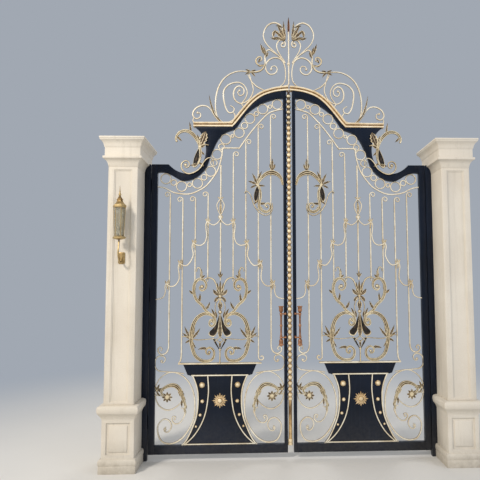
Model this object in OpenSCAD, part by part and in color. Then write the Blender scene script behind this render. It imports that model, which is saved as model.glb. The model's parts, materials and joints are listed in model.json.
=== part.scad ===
// Pair of wrought iron driveway gates hung between two panelled masonry piers
// Millimetres. X runs to the right, Y away from the viewer, Z up.
// The origin is the centre of the left pier's foot.

/* [Gateway] */
// Half of the gateway, from a hinge axis to the middle
half_w = 1420; // [1320:5:1520]
// Gap between the ground and the bottom rail
foot_gap = 62; // [40:1:90]
// Top of the hinge stiles
stile_top = 2965; // [2850:5:3080]
// Underside of the cornice over the shoulders
shoulder_z = 3365; // [3300:5:3450]
// Underside of the cornice at the middle of the arch
arch_z = 3760; // [3690:5:3840]
// Tip of the crest
crest_z = 4570; // [4440:5:4700]

/* [Leaf frame] */
// Width of the hinge stiles
stile_w = 60; // [50:1:75]
// Width of the meeting stiles
meet_w = 34; // [28:1:45]
// Height of the bottom rail
rail_h = 83; // [60:1:110]
// Depth of the stiles, the rails and the head
frame_d = 50; // [40:1:60]
// Top of the lower panel, where the ledge lies
ledge_z = 930; // [890:5:980]
// Thickness of the lower panel's plate
plate_t = 12; // [8:1:16]
// Height of the head where it meets the meeting stile
head_h = 92; // [80:1:110]
// Clearance of the hinge stile from the hinge axis
hinge_gap = 4; // [3:0.5:8]
// Clearance of each leaf's edge from the middle of the gateway
meet_gap = 30; // [24:1:40]

/* [Ironwork] */
// Thickness of the scrollwork, front to back
iron_t = 16; // [12:1:20]
// Width of the upright bars
bar_w = 15; // [12:1:18]
// Spacing of the upright bars
bar_pitch = 129; // [124:1:134]
// Radius of the crooks at the tops of the bars
crook_r = 31; // [24:1:34]
// Width of a scroll's bar
scroll_w = 16; // [13:1:19]
// Width of the rib along the edges of a broad scroll
rib_w = 7; // [5:1:9]
// Radius of the big rings in the frieze
ring_r = 58; // [52:1:62]
// Width of the rings' metal
ring_w = 12; // [9:1:15]
// Thickness of the applied leaves and swags
leaf_t = 16; // [10:1:20]
// Radius of the beads on the astragal
bead_r = 25; // [22:0.5:27]
// Spacing of the beads
bead_pitch = 57; // [54:0.5:60]
// Height of the cornice's gilded moulding
cornice_h = 45; // [35:1:55]
// Depth of the cornice's upper moulding
cornice_d = 92; // [70:1:110]
// Thickness of the ledge over the panel
ledge_t = 17.5; // [12:0.5:24]
// Gap left between two pieces that are set against each other
seat = 0.3; // [0.2:0.1:0.5]

/* [Handles] */
// Radius of the pull handles' rod
pull_r = 11; // [9:0.5:14]
// Distance of the handles' rod from the middle of the leaf's thickness
pull_out = 60; // [52:1:75]
// Radius of the flower-shaped ends of the handles
cup_r = 27; // [22:1:30]

/* [Hinges] */
// Radius of the hinge barrels
barrel_r = 12; // [10:0.5:14]
// Radius of the hinge pins
pin_r = 7; // [5:0.5:8]
// Clearance of a pin in its barrel
pin_fit = 0.05; // [0.03:0.01:0.1]
// Height of one barrel
barrel_h = 60; // [50:1:80]

/* [Piers] */
// Width of a pier's shaft
pier_w = 280; // [260:5:320]
// Depth of a pier's shaft
pier_d = 480; // [440:5:520]
// Distance of a pier's front face from the middle of the leaves
pier_front = 330; // [300:5:360]
// Height of a pier
pier_h = 3155; // [3050:5:3300]
// Height of a pier's cap
cap_h = 285; // [250:5:310]
// How far the cap stands out from the shaft
cap_out = 75; // [60:1:85]
// Height of a pier's base
base_h = 615; // [580:5:660]
// How far the base's upper moulding stands out from the shaft
base_out = 50; // [40:1:58]
// Width of the jambs
jamb_w = 62; // [54:1:72]
// Depth of the sunk panels in the piers
sunk = 14; // [8:1:20]
// Distance of the shaft's sunk panel from its edges
panel_edge = 65; // [50:1:80]

/* [Lantern] */
// Height of the lantern's foot above the ground
lantern_z = 2165; // [2000:5:2300]
// Radius of the lantern at its widest rim
lantern_r = 64; // [55:1:72]
// Distance of the lantern's middle from the pier's face
lantern_out = 95; // [85:1:120]

/* [Hidden] */
$fn = 48;

// Colours
navy = "#14233d";
gilt = "#d8c489";
warm_gilt = "#dcb27a";
bronze = "#6b5a3c";
masonry = "#ece7dc";

// Lines that the leaf's pieces share, measured from the hinge axis and from the ground
stile_in = hinge_gap + stile_w;
meet_face = half_w - meet_gap;
meet_in = meet_face - meet_w;
rail_top = foot_gap + rail_h;
mid_x = (stile_in + meet_in) / 2;
hinge_y = frame_d / 2 + barrel_r;
front_y = -iron_t / 2 - seat;
head_foot_z = arch_z - head_h;
crest_gap = 5;
finial_r = 17;
finial_clear = finial_r + 3;
pier_x = pier_w / 2 + seat + jamb_w + hinge_gap;

// The ironwork is drawn on a board of these sizes and carried to the leaf's real lines
x_board = [[0, 0], [64, stile_in], [1356, meet_in], [1390, meet_face], [1420, half_w]];
z_board = [[0, 0], [62, foot_gap], [145, rail_top], [945, ledge_z], [3085, stile_top],
    [3515, shoulder_z], [3920, arch_z], [4780, crest_z]];
function at(p) = [lookup(p[0], x_board), lookup(p[1], z_board)];
function place(pts) = [for (p = pts) at(p)];
function level(z) = lookup(z, z_board);
// Points measured from the middle of the leaf, and from the middle of the gateway
function from_mid(pts) = [for (q = pts) [mid_x + q[0], level(q[1])]];
function from_joint(pts) = [for (q = pts) [half_w + q[0], level(q[1])]];

// Curves
function curve_point(a, b, c, d, t) = 0.5 * (2 * b + (c - a) * t
    + (2 * a - 5 * b + 4 * c - d) * t * t + (3 * b - a - 3 * c + d) * t * t * t);
function smooth(p, n = 3) = concat([for (i = [0:len(p) - 2], k = [0:n - 1])
    curve_point(p[max(i - 1, 0)], p[i], p[i + 1], p[min(i + 2, len(p) - 1)], k / n)],
    [p[len(p) - 1]]);
function spiral(eye, r0, r1, a0, turn, step = 40) = let (n = ceil(abs(turn) / step))
    [for (k = [0:n]) eye + r0 * pow(r1 / r0, k / n) * [cos(a0 + turn * k / n), sin(a0 + turn * k / n)]];
function back(p) = [for (i = [len(p) - 1:-1:0]) p[i]];
function heading(p, i) = let (d = p[min(i + 1, len(p) - 1)] - p[max(i - 1, 0)]) d / norm(d);
function beside(p, i, o) = p[i] + o * [-heading(p, i)[1], heading(p, i)[0]];
function parallel(p, o) = [for (i = [0:len(p) - 1]) beside(p, i, o)];
function half_width(i, n, w) = lookup(i / n, [[0, w[0]], [0.5, w[1]], [1, w[2]]]);

// A flat bar bent along a path; w holds its half width at the start, the middle and the end
module ribbon(p, w) {
    n = len(p) - 1;
    polygon(concat([for (i = [0:n]) beside(p, i, half_width(i, n, w))],
        [for (i = [n:-1:0]) beside(p, i, -half_width(i, n, w))]));
}

// A scroll bent through the given points, with tapered ends
module scroll(pts, w = scroll_w, end = 0.6) {
    ribbon(smooth(pts), [w / 2 * end, w / 2, w / 2 * end]);
}

// A leaf bent along its length, with lobed edges; a higher peak sets its widest place nearer the tip
function leaf_axis(l, bend, t) = abs(bend) < 1 ? [l * t, 0]
    : let (r = l / bend * 180 / PI) [r * sin(bend * t), r * (1 - cos(bend * t))];
function leaf_half(w, lobes, peak, t) = w * pow(abs(sin(180 * pow(t, peak))), 0.8)
    * (lobes == 0 ? 1 : 0.66 + 0.34 * abs(cos(180 * lobes * t)));
function leaf_side(l, w, lobes, bend, peak, n, i, s) = let (t = i / n)
    leaf_axis(l, bend, t) + s * leaf_half(w, lobes, peak, t) * [-sin(bend * t), cos(bend * t)];
module leaf(p, a, l, w, lobes = 0, bend = 0, peak = 0.75) {
    n = max(7, 4 * lobes);
    translate(p)
    rotate(a)
    polygon(concat([for (i = [0:n]) leaf_side(l, w, lobes, bend, peak, n, i, 1)],
        [for (i = [n - 1:-1:1]) leaf_side(l, w, lobes, bend, peak, n, i, -1)]));
}
module knot(p, r) {
    translate(p)
    circle(r = r, $fn = 20);
}

// Welds flat ironwork into one sheet standing in the leaf's plane, from y0 back to y1
module forge(y0, y1) {
    translate([0, y1, 0])
    rotate([90, 0, 0])
    linear_extrude(y1 - y0)
    offset(delta = -0.01)
    children();
}

// A broad scroll in the front layer: a thin web with a rib along each edge
module ribbed(pts, w) {
    p = smooth(pts);
    n = len(p) - 1;
    rib = rib_w / 2;
    forge(front_y - leaf_t * 0.6, front_y)
    in_frame()
    ribbon(p, [for (half = w) half - rib]);
    forge(front_y - leaf_t, front_y)
    in_frame()
    for (s = [-1, 1])
        ribbon([for (i = [0:n]) beside(p, i, s * (half_width(i, n, w) - rib))], [rib, rib, rib]);
}

// The same flat shape on both sides of the leaf's middle line
module both_sides() {
    children();
    translate([2 * mid_x, 0])
    mirror([1, 0])
    children();
}
module both_sides_of_leaf() {
    children();
    translate([2 * mid_x, 0, 0])
    mirror([1, 0, 0])
    children();
}

// What lies in the leaf's opening, kept clear of its frame
module in_frame() {
    intersection() {
        translate([stile_in + seat, rail_top + seat])
        square([meet_in - stile_in - 2 * seat, arch_z - rail_top]);
        union()
        children();
    }
}

// Both leaves are drawn from their hinge axis; the right one is the left one mirrored
module left_leaf() {
    translate([pier_x, 0, 0])
    children();
}
module right_leaf() {
    translate([pier_x + 2 * half_w, 0, 0])
    mirror([1, 0, 0])
    children();
}
module right_pier() {
    translate([2 * (pier_x + half_w), 0, 0])
    mirror([1, 0, 0])
    children();
}

// Frame of a leaf
hinge_heights = [level(360), level(1660), level(2860)];
module hinge_stile() {
    color(navy)
    difference() {
        union() {
            translate([hinge_gap, -frame_d / 2, foot_gap])
            cube([stile_w, frame_d, stile_top - foot_gap]);
            for (z = hinge_heights) {
                translate([0, hinge_y, z + seat])
                cylinder(r = barrel_r, h = barrel_h);
                translate([0, frame_d / 2 - 1, z + seat])
                cube([stile_w * 0.6, barrel_r * 0.5, barrel_h]);
            }
        }
        for (z = hinge_heights)
            translate([0, hinge_y, z - 1])
            cylinder(r = pin_r + pin_fit, h = barrel_h + 3);
    }
}

module meeting_stile() {
    color(navy)
    translate([meet_in, -frame_d / 2, foot_gap])
    cube([meet_w, frame_d, head_foot_z - foot_gap]);
}

module bottom_rail() {
    color(navy)
    translate([stile_in, -frame_d / 2, foot_gap])
    cube([meet_in - stile_in, frame_d, rail_h]);
}

// Centres of the ten big rings, from the hinge stile up to the meeting stile
ring_at = place([[145, 2932], [308, 2848], [470, 2882], [604, 3014], [671, 3205], [759, 3378],
    [898, 3452], [1010, 3612], [1145, 3716], [1296, 3770]]);
frieze_line = smooth(concat([at([64, 2935])], ring_at, [at([1390, 3772])]), 4);
// The arch's line starts at the end of the shoulder; points too near that corner are left out
arch_curve = smooth(place([[830, 3515], [880, 3572], [955, 3672], [1045, 3778], [1140, 3852],
    [1250, 3895], [1340, 3912], [1420, 3920]]), 4);
arch_line = [for (q = arch_curve) if (q == arch_curve[0] || norm(q - arch_curve[0]) > cornice_h) q];
function up_to(p, x) = concat([for (q = p) if (q[0] < x - 1) q], [[x, lookup(x, p)]]);

module head() {
    swoop = smooth(place([[175, 3085], [235, 3030], [300, 2997], [375, 2985], [440, 3005], [505, 3075],
        [545, 3160], [556, 3260], [540, 3370], [490, 3465], [440, 3515]]));
    over = up_to(arch_line, meet_face);
    low = [for (q = parallel(frieze_line, ring_r + seat)) if (q[0] > stile_in + 1 && q[0] < meet_in - 1) q];
    under = concat([[stile_in, low[0][1]]], low, [[meet_in, head_foot_z], [meet_face, head_foot_z]]);
    color(navy)
    forge(-frame_d / 2, frame_d / 2)
    difference() {
        polygon(concat([[stile_in, stile_top]], swoop, over, back(under)));
        for (c = ring_at)
            translate(c)
            circle(r = ring_r + seat);
    }
}

// Gilded moulding over the shoulder and the arch: two beads with a hollow between them
cornice_line = concat([at([425, 3515])], up_to(arch_line, half_w - crest_gap));
module cornice_band(a, b) {
    polygon(concat(parallel(cornice_line, a), back(parallel(cornice_line, b))));
}
module cornice() {
    lip = cornice_h * 0.38;
    hollow = cornice_h * 0.62;
    color(warm_gilt)
    union() {
        forge(-cornice_d / 2 + 12, cornice_d / 2 - 12)
        cornice_band(seat, lip + 0.1);
        forge(-cornice_d / 2 + 24, cornice_d / 2 - 24)
        cornice_band(lip, hollow + 0.1);
        forge(-cornice_d / 2, cornice_d / 2)
        cornice_band(hollow, cornice_h);
    }
}

module ring(c, r) {
    translate([c[0], iron_t / 2, c[1]])
    rotate([90, 0, 0])
    difference() {
        cylinder(r = r, h = iron_t);
        translate([0, 0, -1])
        cylinder(r = r - ring_w, h = iron_t + 2);
    }
}

// The thin curved bar that follows the rings on their inner side
module frieze_bar() {
    in_frame() {
        ribbon(smooth(place([[60, 2845], [140, 2828], [240, 2778], [385, 2765], [505, 2815], [580, 2878],
            [672, 3016], [716, 3170], [726, 3278]])), [7, 7, 7]);
        ribbon(place([[719, 3278], [900, 3278]]), [7, 7, 7]);
        ribbon(smooth(place([[898, 3272], [985, 3408], [1080, 3538], [1198, 3665], [1280, 3702],
            [1362, 3720]])), [7, 7, 7]);
    }
}
function small_ring(i) = norm(ring_at[i + 1] - ring_at[i]) / 2 - ring_r + 1.5;
module ring_frieze() {
    color(gilt)
    union() {
        for (c = ring_at)
            ring(c, ring_r);
        for (i = [0:len(ring_at) - 2])
            ring((ring_at[i] + ring_at[i + 1]) / 2, small_ring(i));
        forge(-iron_t / 2, iron_t / 2)
        frieze_bar();
    }
}

// Nine upright bars; each ends in a crook under the frieze, and only some reach down to the ledge
function bar_x(k) = mid_x + bar_pitch * k;
crook_top = [2790, 2735, 2740, 2792, 3080, 3240, 3380, 3555, 3665];
bar_foot = [1200, 1100, 1735, 1825, 1835, 1825, 1735, 1040, 1200];
module crook(x, z, side) {
    path = concat([[x, z - 4 * crook_r], [x, z - 2.5 * crook_r]],
        spiral([x + side * crook_r, z - crook_r], crook_r, crook_r * 0.42, side > 0 ? 180 : 0,
        -side * 390, 30));
    ribbon(smooth(path, 2), [bar_w / 2, bar_w * 0.42, bar_w * 0.3]);
}
module bars() {
    color(gilt)
    forge(-iron_t / 2, iron_t / 2)
    difference() {
        in_frame() {
            for (i = [0:8]) {
                k = i - 4;
                top = level(crook_top[i]);
                straight = k == 0 ? top : top - 4 * crook_r + 1;
                translate([bar_x(k) - bar_w / 2, level(bar_foot[i])])
                square([bar_w, straight - level(bar_foot[i])]);
                if (k != 0)
                    crook(bar_x(k), top, k > 0 ? 1 : -1);
            }
            ledge_clear()
            bar_ends();
        }
        offset(delta = seat) {
            frieze_bar();
            for (c = ring_at)
                translate(c)
                circle(r = ring_r);
        }
    }
}
// Feet of the outer bars: a double curl at each side, a hook and a splayed foot on the ledge
module bar_ends() {
    both_sides()
    scroll(from_mid([[-516, 1205], [-517, 1120], [-538, 1070], [-580, 1052], [-614, 1074], [-621, 1110],
        [-598, 1128], [-580, 1108], [-594, 1090]]), bar_w, 0.9);
    x = bar_pitch * 3;
    scroll(concat(from_mid([[x, 1110], [x, 1045]]),
        spiral([mid_x + x + 32, level(1012)], 32, 12, 180, 310)), bar_w, 0.8);
    scroll(from_mid([[-x, 1110], [-x - 1, 1040], [-x - 8, 990], [-x - 24, 963]]), bar_w, 0.9);
}
module ledge_clear() {
    difference() {
        union()
        children();
        translate([mid_x - 600, ledge_z - 50])
        square([1200, 50 + ledge_t + seat]);
    }
}

// Slim swags that step down from the middle bar to the stiles, with a leafy knot at each step
swag = [[0, 2525], [-6, 2480], [-40, 2440], [-75, 2425], [-115, 2445], [-135, 2460], [-150, 2425],
    [-145, 2360], [-140, 2305], [-160, 2235], [-205, 2205], [-255, 2215], [-275, 2230], [-287, 2185],
    [-275, 2105], [-300, 2035], [-340, 1990], [-385, 1995], [-412, 2012], [-425, 1970], [-415, 1890],
    [-420, 1830], [-460, 1775], [-510, 1770], [-540, 1795], [-556, 1765], [-552, 1715], [-566, 1665],
    [-600, 1640], [-650, 1632]];
plume = [[0, 2530], [28, 2590], [36, 2650], [0, 2712]];
swag_knots = [[-135, 2458], [-273, 2230], [-412, 2012], [-540, 1793]];
module garland() {
    color(gilt)
    forge(front_y - leaf_t, front_y)
    in_frame() {
        both_sides() {
            ribbon(smooth(from_mid(swag), 2), [6, 7, 6]);
            for (p = from_mid(swag_knots)) {
                leaf(p + [4, -4], 75, 46, 9);
                leaf(p + [0, -2], 110, 40, 8);
                leaf(p + [4, 6], -85, 66, 10);
                leaf(p, 20, 38, 8, 0, 30);
                knot(p, 13);
            }
        }
        knot(from_mid([[0, 2512]])[0], 26);
        for (s = [-1, 1]) {
            ribbon(smooth([for (q = plume) [mid_x + s * q[0], level(q[1])]]), [5, 6, 4]);
            leaf([mid_x, level(2700)], 90 + s * 32, 40, 8, 0, s * 30);
        }
        leaf([mid_x, level(2560)], 90, 105, 13);
    }
}

// C and S scrolls with a bud and drooping leaves over the lower panel
module cartouche() {
    lower_c = [[-92, 1402], [-98, 1380], [-78, 1362], [-52, 1385], [-46, 1430], [-75, 1468],
        [-125, 1480], [-180, 1470], [-240, 1430], [-275, 1355], [-290, 1260], [-280, 1155], [-255, 1060],
        [-210, 1005], [-145, 982], [-95, 990], [-60, 1025], [-58, 1085], [-90, 1120], [-128, 1110],
        [-135, 1075], [-110, 1060]];
    upper_c = [[-60, 1450], [-110, 1485], [-165, 1535], [-215, 1600], [-255, 1670], [-265, 1740],
        [-245, 1800], [-205, 1838], [-162, 1830], [-138, 1790], [-150, 1738], [-190, 1718], [-218, 1745],
        [-202, 1775]];
    color(bronze)
    union() {
        both_sides_of_leaf() {
            ribbed(from_mid(lower_c), [6, 17, 6]);
            ribbed(from_mid(upper_c), [11, 14, 6]);
        }
        forge(front_y - leaf_t, front_y)
        ledge_clear() {
            both_sides() {
                cartouche_leaves();
                scroll(from_mid([[-162, 1838], [-130, 1860], [-95, 1855], [-60, 1828], [-48, 1780],
                    [-30, 1730], [-6, 1700]]), 17);
                scroll(from_mid([[-240, 1925], [-234, 1958], [-212, 1966], [-198, 1935], [-192, 1890],
                    [-205, 1835]]), 14);
                scroll(from_mid([[-275, 1190], [-170, 1205], [-70, 1222]]), 11);
                knot(from_mid([[-98, 1398]])[0], 13);
                knot(from_mid([[-103, 1066]])[0], 15);
                knot(from_mid([[-198, 1770]])[0], 14);
            }
            bud();
            drooping_leaves();
        }
    }
}
module cartouche_leaves() {
    leaf(from_mid([[-200, 1850]])[0], 75, 95, 14, 3, 20);
    leaf(from_mid([[-196, 1850]])[0], 40, 50, 11);
    leaf(from_mid([[-262, 1690]])[0], 165, 60, 12, 0, -40);
    leaf(from_mid([[-225, 1590]])[0], 60, 95, 14, 0, 35);
    leaf(from_mid([[-150, 1520]])[0], 40, 90, 13, 0, 40);
    // A spray on the outer side of the lower scroll
    for (f = [[-60, 105], [-25, 120], [8, 130], [40, 120], [72, 90]])
        leaf(from_mid([[-268, 1262]])[0], 180 - f[0], f[1], 13, 3);
    leaf(from_mid([[-122, 1106]])[0], 168, 96, 14, 3, 40);
}
module bud() {
    // Small leaves where the middle bar ends
    for (a = [58, 90, 122])
        leaf(from_mid([[0, 1862]])[0], a, a == 90 ? 60 : 48, 9);
    leaf(from_mid([[0, 1880]])[0], -90, 180, 14, 0, 0, 1.1);
    both_sides() {
        leaf(from_mid([[-4, 1730]])[0], 208, 96, 19, 0, -52, 1.2);
        leaf(from_mid([[-2, 1725]])[0], 145, 62, 13);
        leaf(from_mid([[-6, 1660]])[0], 215, 70, 15, 0, 40, 1.1);
        leaf(from_mid([[-22, 1440]])[0], 102, 88, 13, 0, 48);
    }
    knot(from_mid([[0, 1715]])[0], 22);
    translate([mid_x - 7, level(1600)])
    square([14, level(1715) - level(1600)]);
    translate(from_mid([[0, 1552]])[0])
    scale([0.62, 1])
    circle(r = 66, $fn = 30);
    translate([mid_x - 34, level(1482)])
    square([68, 15]);
}
module drooping_leaves() {
    leaf(from_mid([[0, 1480]])[0], -90, 235, 19, 0, 0, 1.2);
    both_sides() {
        leaf(from_mid([[-12, 1480]])[0], -96, 245, 27, 0, -26, 1.9);
        // The tulip under them
        leaf(from_mid([[0, 1110]])[0], 128, 140, 17, 0, -50, 1.2);
    }
    leaf(from_mid([[0, 1105]])[0], 90, 140, 24, 0, 0, 1.1);
    knot(from_mid([[0, 1112]])[0], 14);
    translate([mid_x - 7, ledge_z])
    square([14, level(1120) - ledge_z]);
}

// Broad scroll with leaves in the upper field, beside the meeting stile
module acanthus_scroll() {
    band = place([[1352, 2895], [1325, 2988], [1245, 3025], [1165, 2990], [1110, 2920], [1070, 2850],
        [1050, 2770], [1062, 2690], [1100, 2635], [1155, 2612], [1200, 2640], [1204, 2685], [1168, 2702],
        [1146, 2672]]);
    color(bronze)
    union() {
        ribbed(band, [14, 18, 6]);
        forge(front_y - leaf_t, front_y)
        in_frame() {
            scroll([[950, 2765], [975, 2792], [1003, 2775], [1028, 2722], [1048, 2655], [1090, 2585],
                [1160, 2542], [1222, 2568], [1246, 2630], [1226, 2690]], 13);
            leaf(at([1078, 2862]), 150, 92, 15, 3, -30);
            leaf(at([1085, 2885]), 78, 96, 14, 3, 20);
            leaf(at([1066, 2840]), 205, 60, 12, 0, 30);
            leaf(at([1080, 2860]), 20, 80, 12, 3, -20);
            leaf(at([1075, 2800]), -78, 170, 16, 4, 40);
            leaf(at([1120, 2660]), -20, 62, 12, 0, 40);
            knot(at([1165, 2672]), 17);
            knot(at([1076, 2858]), 19);
            // The bud on the bar over the scroll
            leaf(at([1243, 3030]), 90, 125, 15, 3);
            leaf(at([1243, 3045]), 52, 62, 11, 0, 30);
            leaf(at([1243, 3045]), 128, 62, 11, 0, -30);
        }
    }
}

module under_cornice() {
    difference() {
        union()
        children();
        offset(delta = seat)
        cornice_band(0, cornice_h);
    }
}

// Scroll in front of the head, between the hinge stile and the neck
module shoulder_scroll() {
    band = place([[268, 3335], [243, 3380], [265, 3435], [310, 3475], [375, 3475], [440, 3425],
        [480, 3340], [490, 3240], [484, 3140], [468, 3070], [430, 3022], [370, 3002], [320, 3035],
        [303, 3088], [335, 3116], [372, 3095], [366, 3062]]);
    color(bronze)
    translate([0, -frame_d / 2 - seat - front_y, 0])
    union() {
        ribbed(band, [6, 16, 6]);
        forge(front_y - leaf_t, front_y)
        under_cornice() {
            scroll([[360, 3004], [425, 3012], [470, 3058], [505, 3118], [548, 3165], [592, 3172],
                [622, 3140], [612, 3105]], 14);
            leaf(at([492, 3300]), 74, 215, 34, 5, 48);
            leaf(at([488, 3250]), 62, 150, 26, 4, 20);
            leaf(at([492, 3290]), 25, 88, 12);
            leaf(at([478, 3345]), -108, 190, 22, 4, -14);
            leaf(at([252, 3396]), -62, 72, 13, 3, 20);
            leaf(at([470, 3075]), 128, 80, 16, 3, 20);
            knot(at([352, 3072]), 15);
            knot(at([486, 3300]), 19);
            knot(at([256, 3345]), 12);
        }
    }
}

// Navy plate under the ledge, in the outline of a vase on a table
vase = [[377, 145], [330, 208], [282, 308], [242, 420], [226, 535], [226, 650], [243, 738], [278, 828]];
function vase_edge() = smooth(from_mid(vase));
module panel_shape() {
    edge = concat(vase_edge(), from_mid([[325, 842], [367, 945]]));
    polygon(concat(edge, [for (q = back(edge)) [2 * mid_x - q[0], q[1]]]));
}
module panel() {
    color(navy)
    forge(-plate_t / 2, plate_t / 2)
    intersection() {
        panel_shape();
        translate([mid_x - 500, rail_top + seat])
        square([1000, ledge_z - rail_top - 2 * seat]);
    }
}

// Gilded lines on the plate and the ledge over it
module panel_trim() {
    line_d = 8;
    line_w = 14;
    color(gilt)
    union() {
        forge(-plate_t / 2 - line_d, -plate_t / 2 - 0.1)
        in_frame() {
            both_sides() {
                ribbon(parallel(vase_edge(), 8), [7, 7, 7]);
                scroll(from_mid([[340, 155], [268, 222], [212, 297], [165, 390], [136, 485], [119, 600],
                    [113, 700], [121, 826]]), 12, 1);
            }
            translate([mid_x - 285, level(828)])
            square([570, line_w]);
            translate([mid_x - 372, rail_top])
            square([744, line_w]);
        }
        translate([mid_x - 417, -iron_t, ledge_z])
        cube([834, 2 * iron_t, ledge_t]);
        for (s = [-1, 1])
            translate([mid_x + s * 412, -iron_t, ledge_z + ledge_t / 2])
            rotate([-90, 0, 0])
            cylinder(r = ledge_t / 2, h = 2 * iron_t);
    }
}

module dome(p, r) {
    translate([p[0], -plate_t / 2 - 0.05, p[1]])
    rotate([90, 0, 0])
    intersection() {
        sphere(r = r);
        cylinder(r = r + 1, h = r);
    }
}
module bosses() {
    middle = from_mid([[0, 582]])[0];
    color(gilt)
    union() {
        for (s = [-1, 1], q = [[178, 738, 27], [174, 576, 18], [195, 440, 15], [236, 326, 11]])
            dome(from_mid([[s * q[0], q[1]]])[0], q[2]);
        // Sunburst rosette
        dome(middle, 24);
        translate([0, -plate_t / 2 - 0.05, 0])
        forge(-5, 0) {
            knot(middle, 34);
            for (k = [0:15])
                leaf(middle + 26 * [cos(k * 22.5), sin(k * 22.5)], k * 22.5, k % 2 == 0 ? 52 : 40, 6.5);
        }
    }
}

// Scrolls in the two fields beside the vase
module field_scroll(pts, w = scroll_w, end = 0.6) {
    scroll(place(pts), w, end);
}
module beside_panel() {
    in_frame()
    difference() {
        union()
        children();
        offset(delta = seat)
        panel_shape();
    }
}
module lower_scrolls() {
    color(gilt)
    union() {
        forge(-iron_t / 2, iron_t / 2)
        beside_panel()
        both_sides() {
            field_scroll([[55, 700], [105, 800], [185, 860], [262, 866], [350, 822], [415, 742],
                [452, 640], [462, 540], [456, 420], [412, 312], [348, 222], [275, 172], [205, 160],
                [138, 185], [100, 262], [100, 345], [150, 400], [205, 390], [232, 335], [208, 282],
                [172, 276], [158, 305], [175, 322]]);
            // The band that runs from the bar's curl to the ledge
            field_scroll([[126, 968], [148, 970], [164, 1000], [150, 1030], [112, 1038], [76, 1017],
                [60, 975], [64, 925], [94, 888], [158, 876], [268, 868], [348, 854]], 14);
            field_scroll([[52, 640], [78, 604], [94, 558], [126, 522], [180, 500], [234, 510],
                [280, 548], [308, 598], [326, 655]], 13);
            field_scroll([[365, 480], [352, 415], [312, 368], [265, 356], [236, 390], [245, 426],
                [272, 424], [266, 400]], 13);
            field_scroll([[330, 510], [352, 500], [372, 470], [350, 410]], 13);
            knot(at([126, 982]), 14);
            knot(at([170, 300]), 13);
            knot(at([262, 402]), 10);
            field_scroll([[50, 640], [110, 640], [172, 622]], 15);
        }
        // Broad leafy scroll in the front layer, its eye a rosette
        translate([0, iron_t / 2, 0])
        both_sides_of_leaf() {
            ribbed(place([[176, 600], [150, 632], [132, 668], [166, 720], [225, 748], [285, 724],
                [325, 665], [345, 585], [368, 520], [366, 470]]), [6, 16, 7]);
            forge(front_y - leaf_t, front_y)
            in_frame() {
                knot(at([192, 617]), 33);
                for (k = [0:7])
                    leaf(at([192, 617]) + 22 * [cos(k * 45), sin(k * 45)], k * 45, 24, 8);
                leaf(at([84, 700]), 65, 62, 12, 3);
                leaf(at([84, 700]), 115, 40, 10);
                leaf(at([84, 690]), -8, 64, 13, 3);
                leaf(at([80, 680]), -70, 58, 11, 0, 30);
                knot(at([80, 693]), 15);
                leaf(at([318, 690]), -40, 74, 14, 3, -40);
                leaf(at([350, 590]), -35, 66, 11, 0, -40);
            }
        }
    }
}

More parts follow.
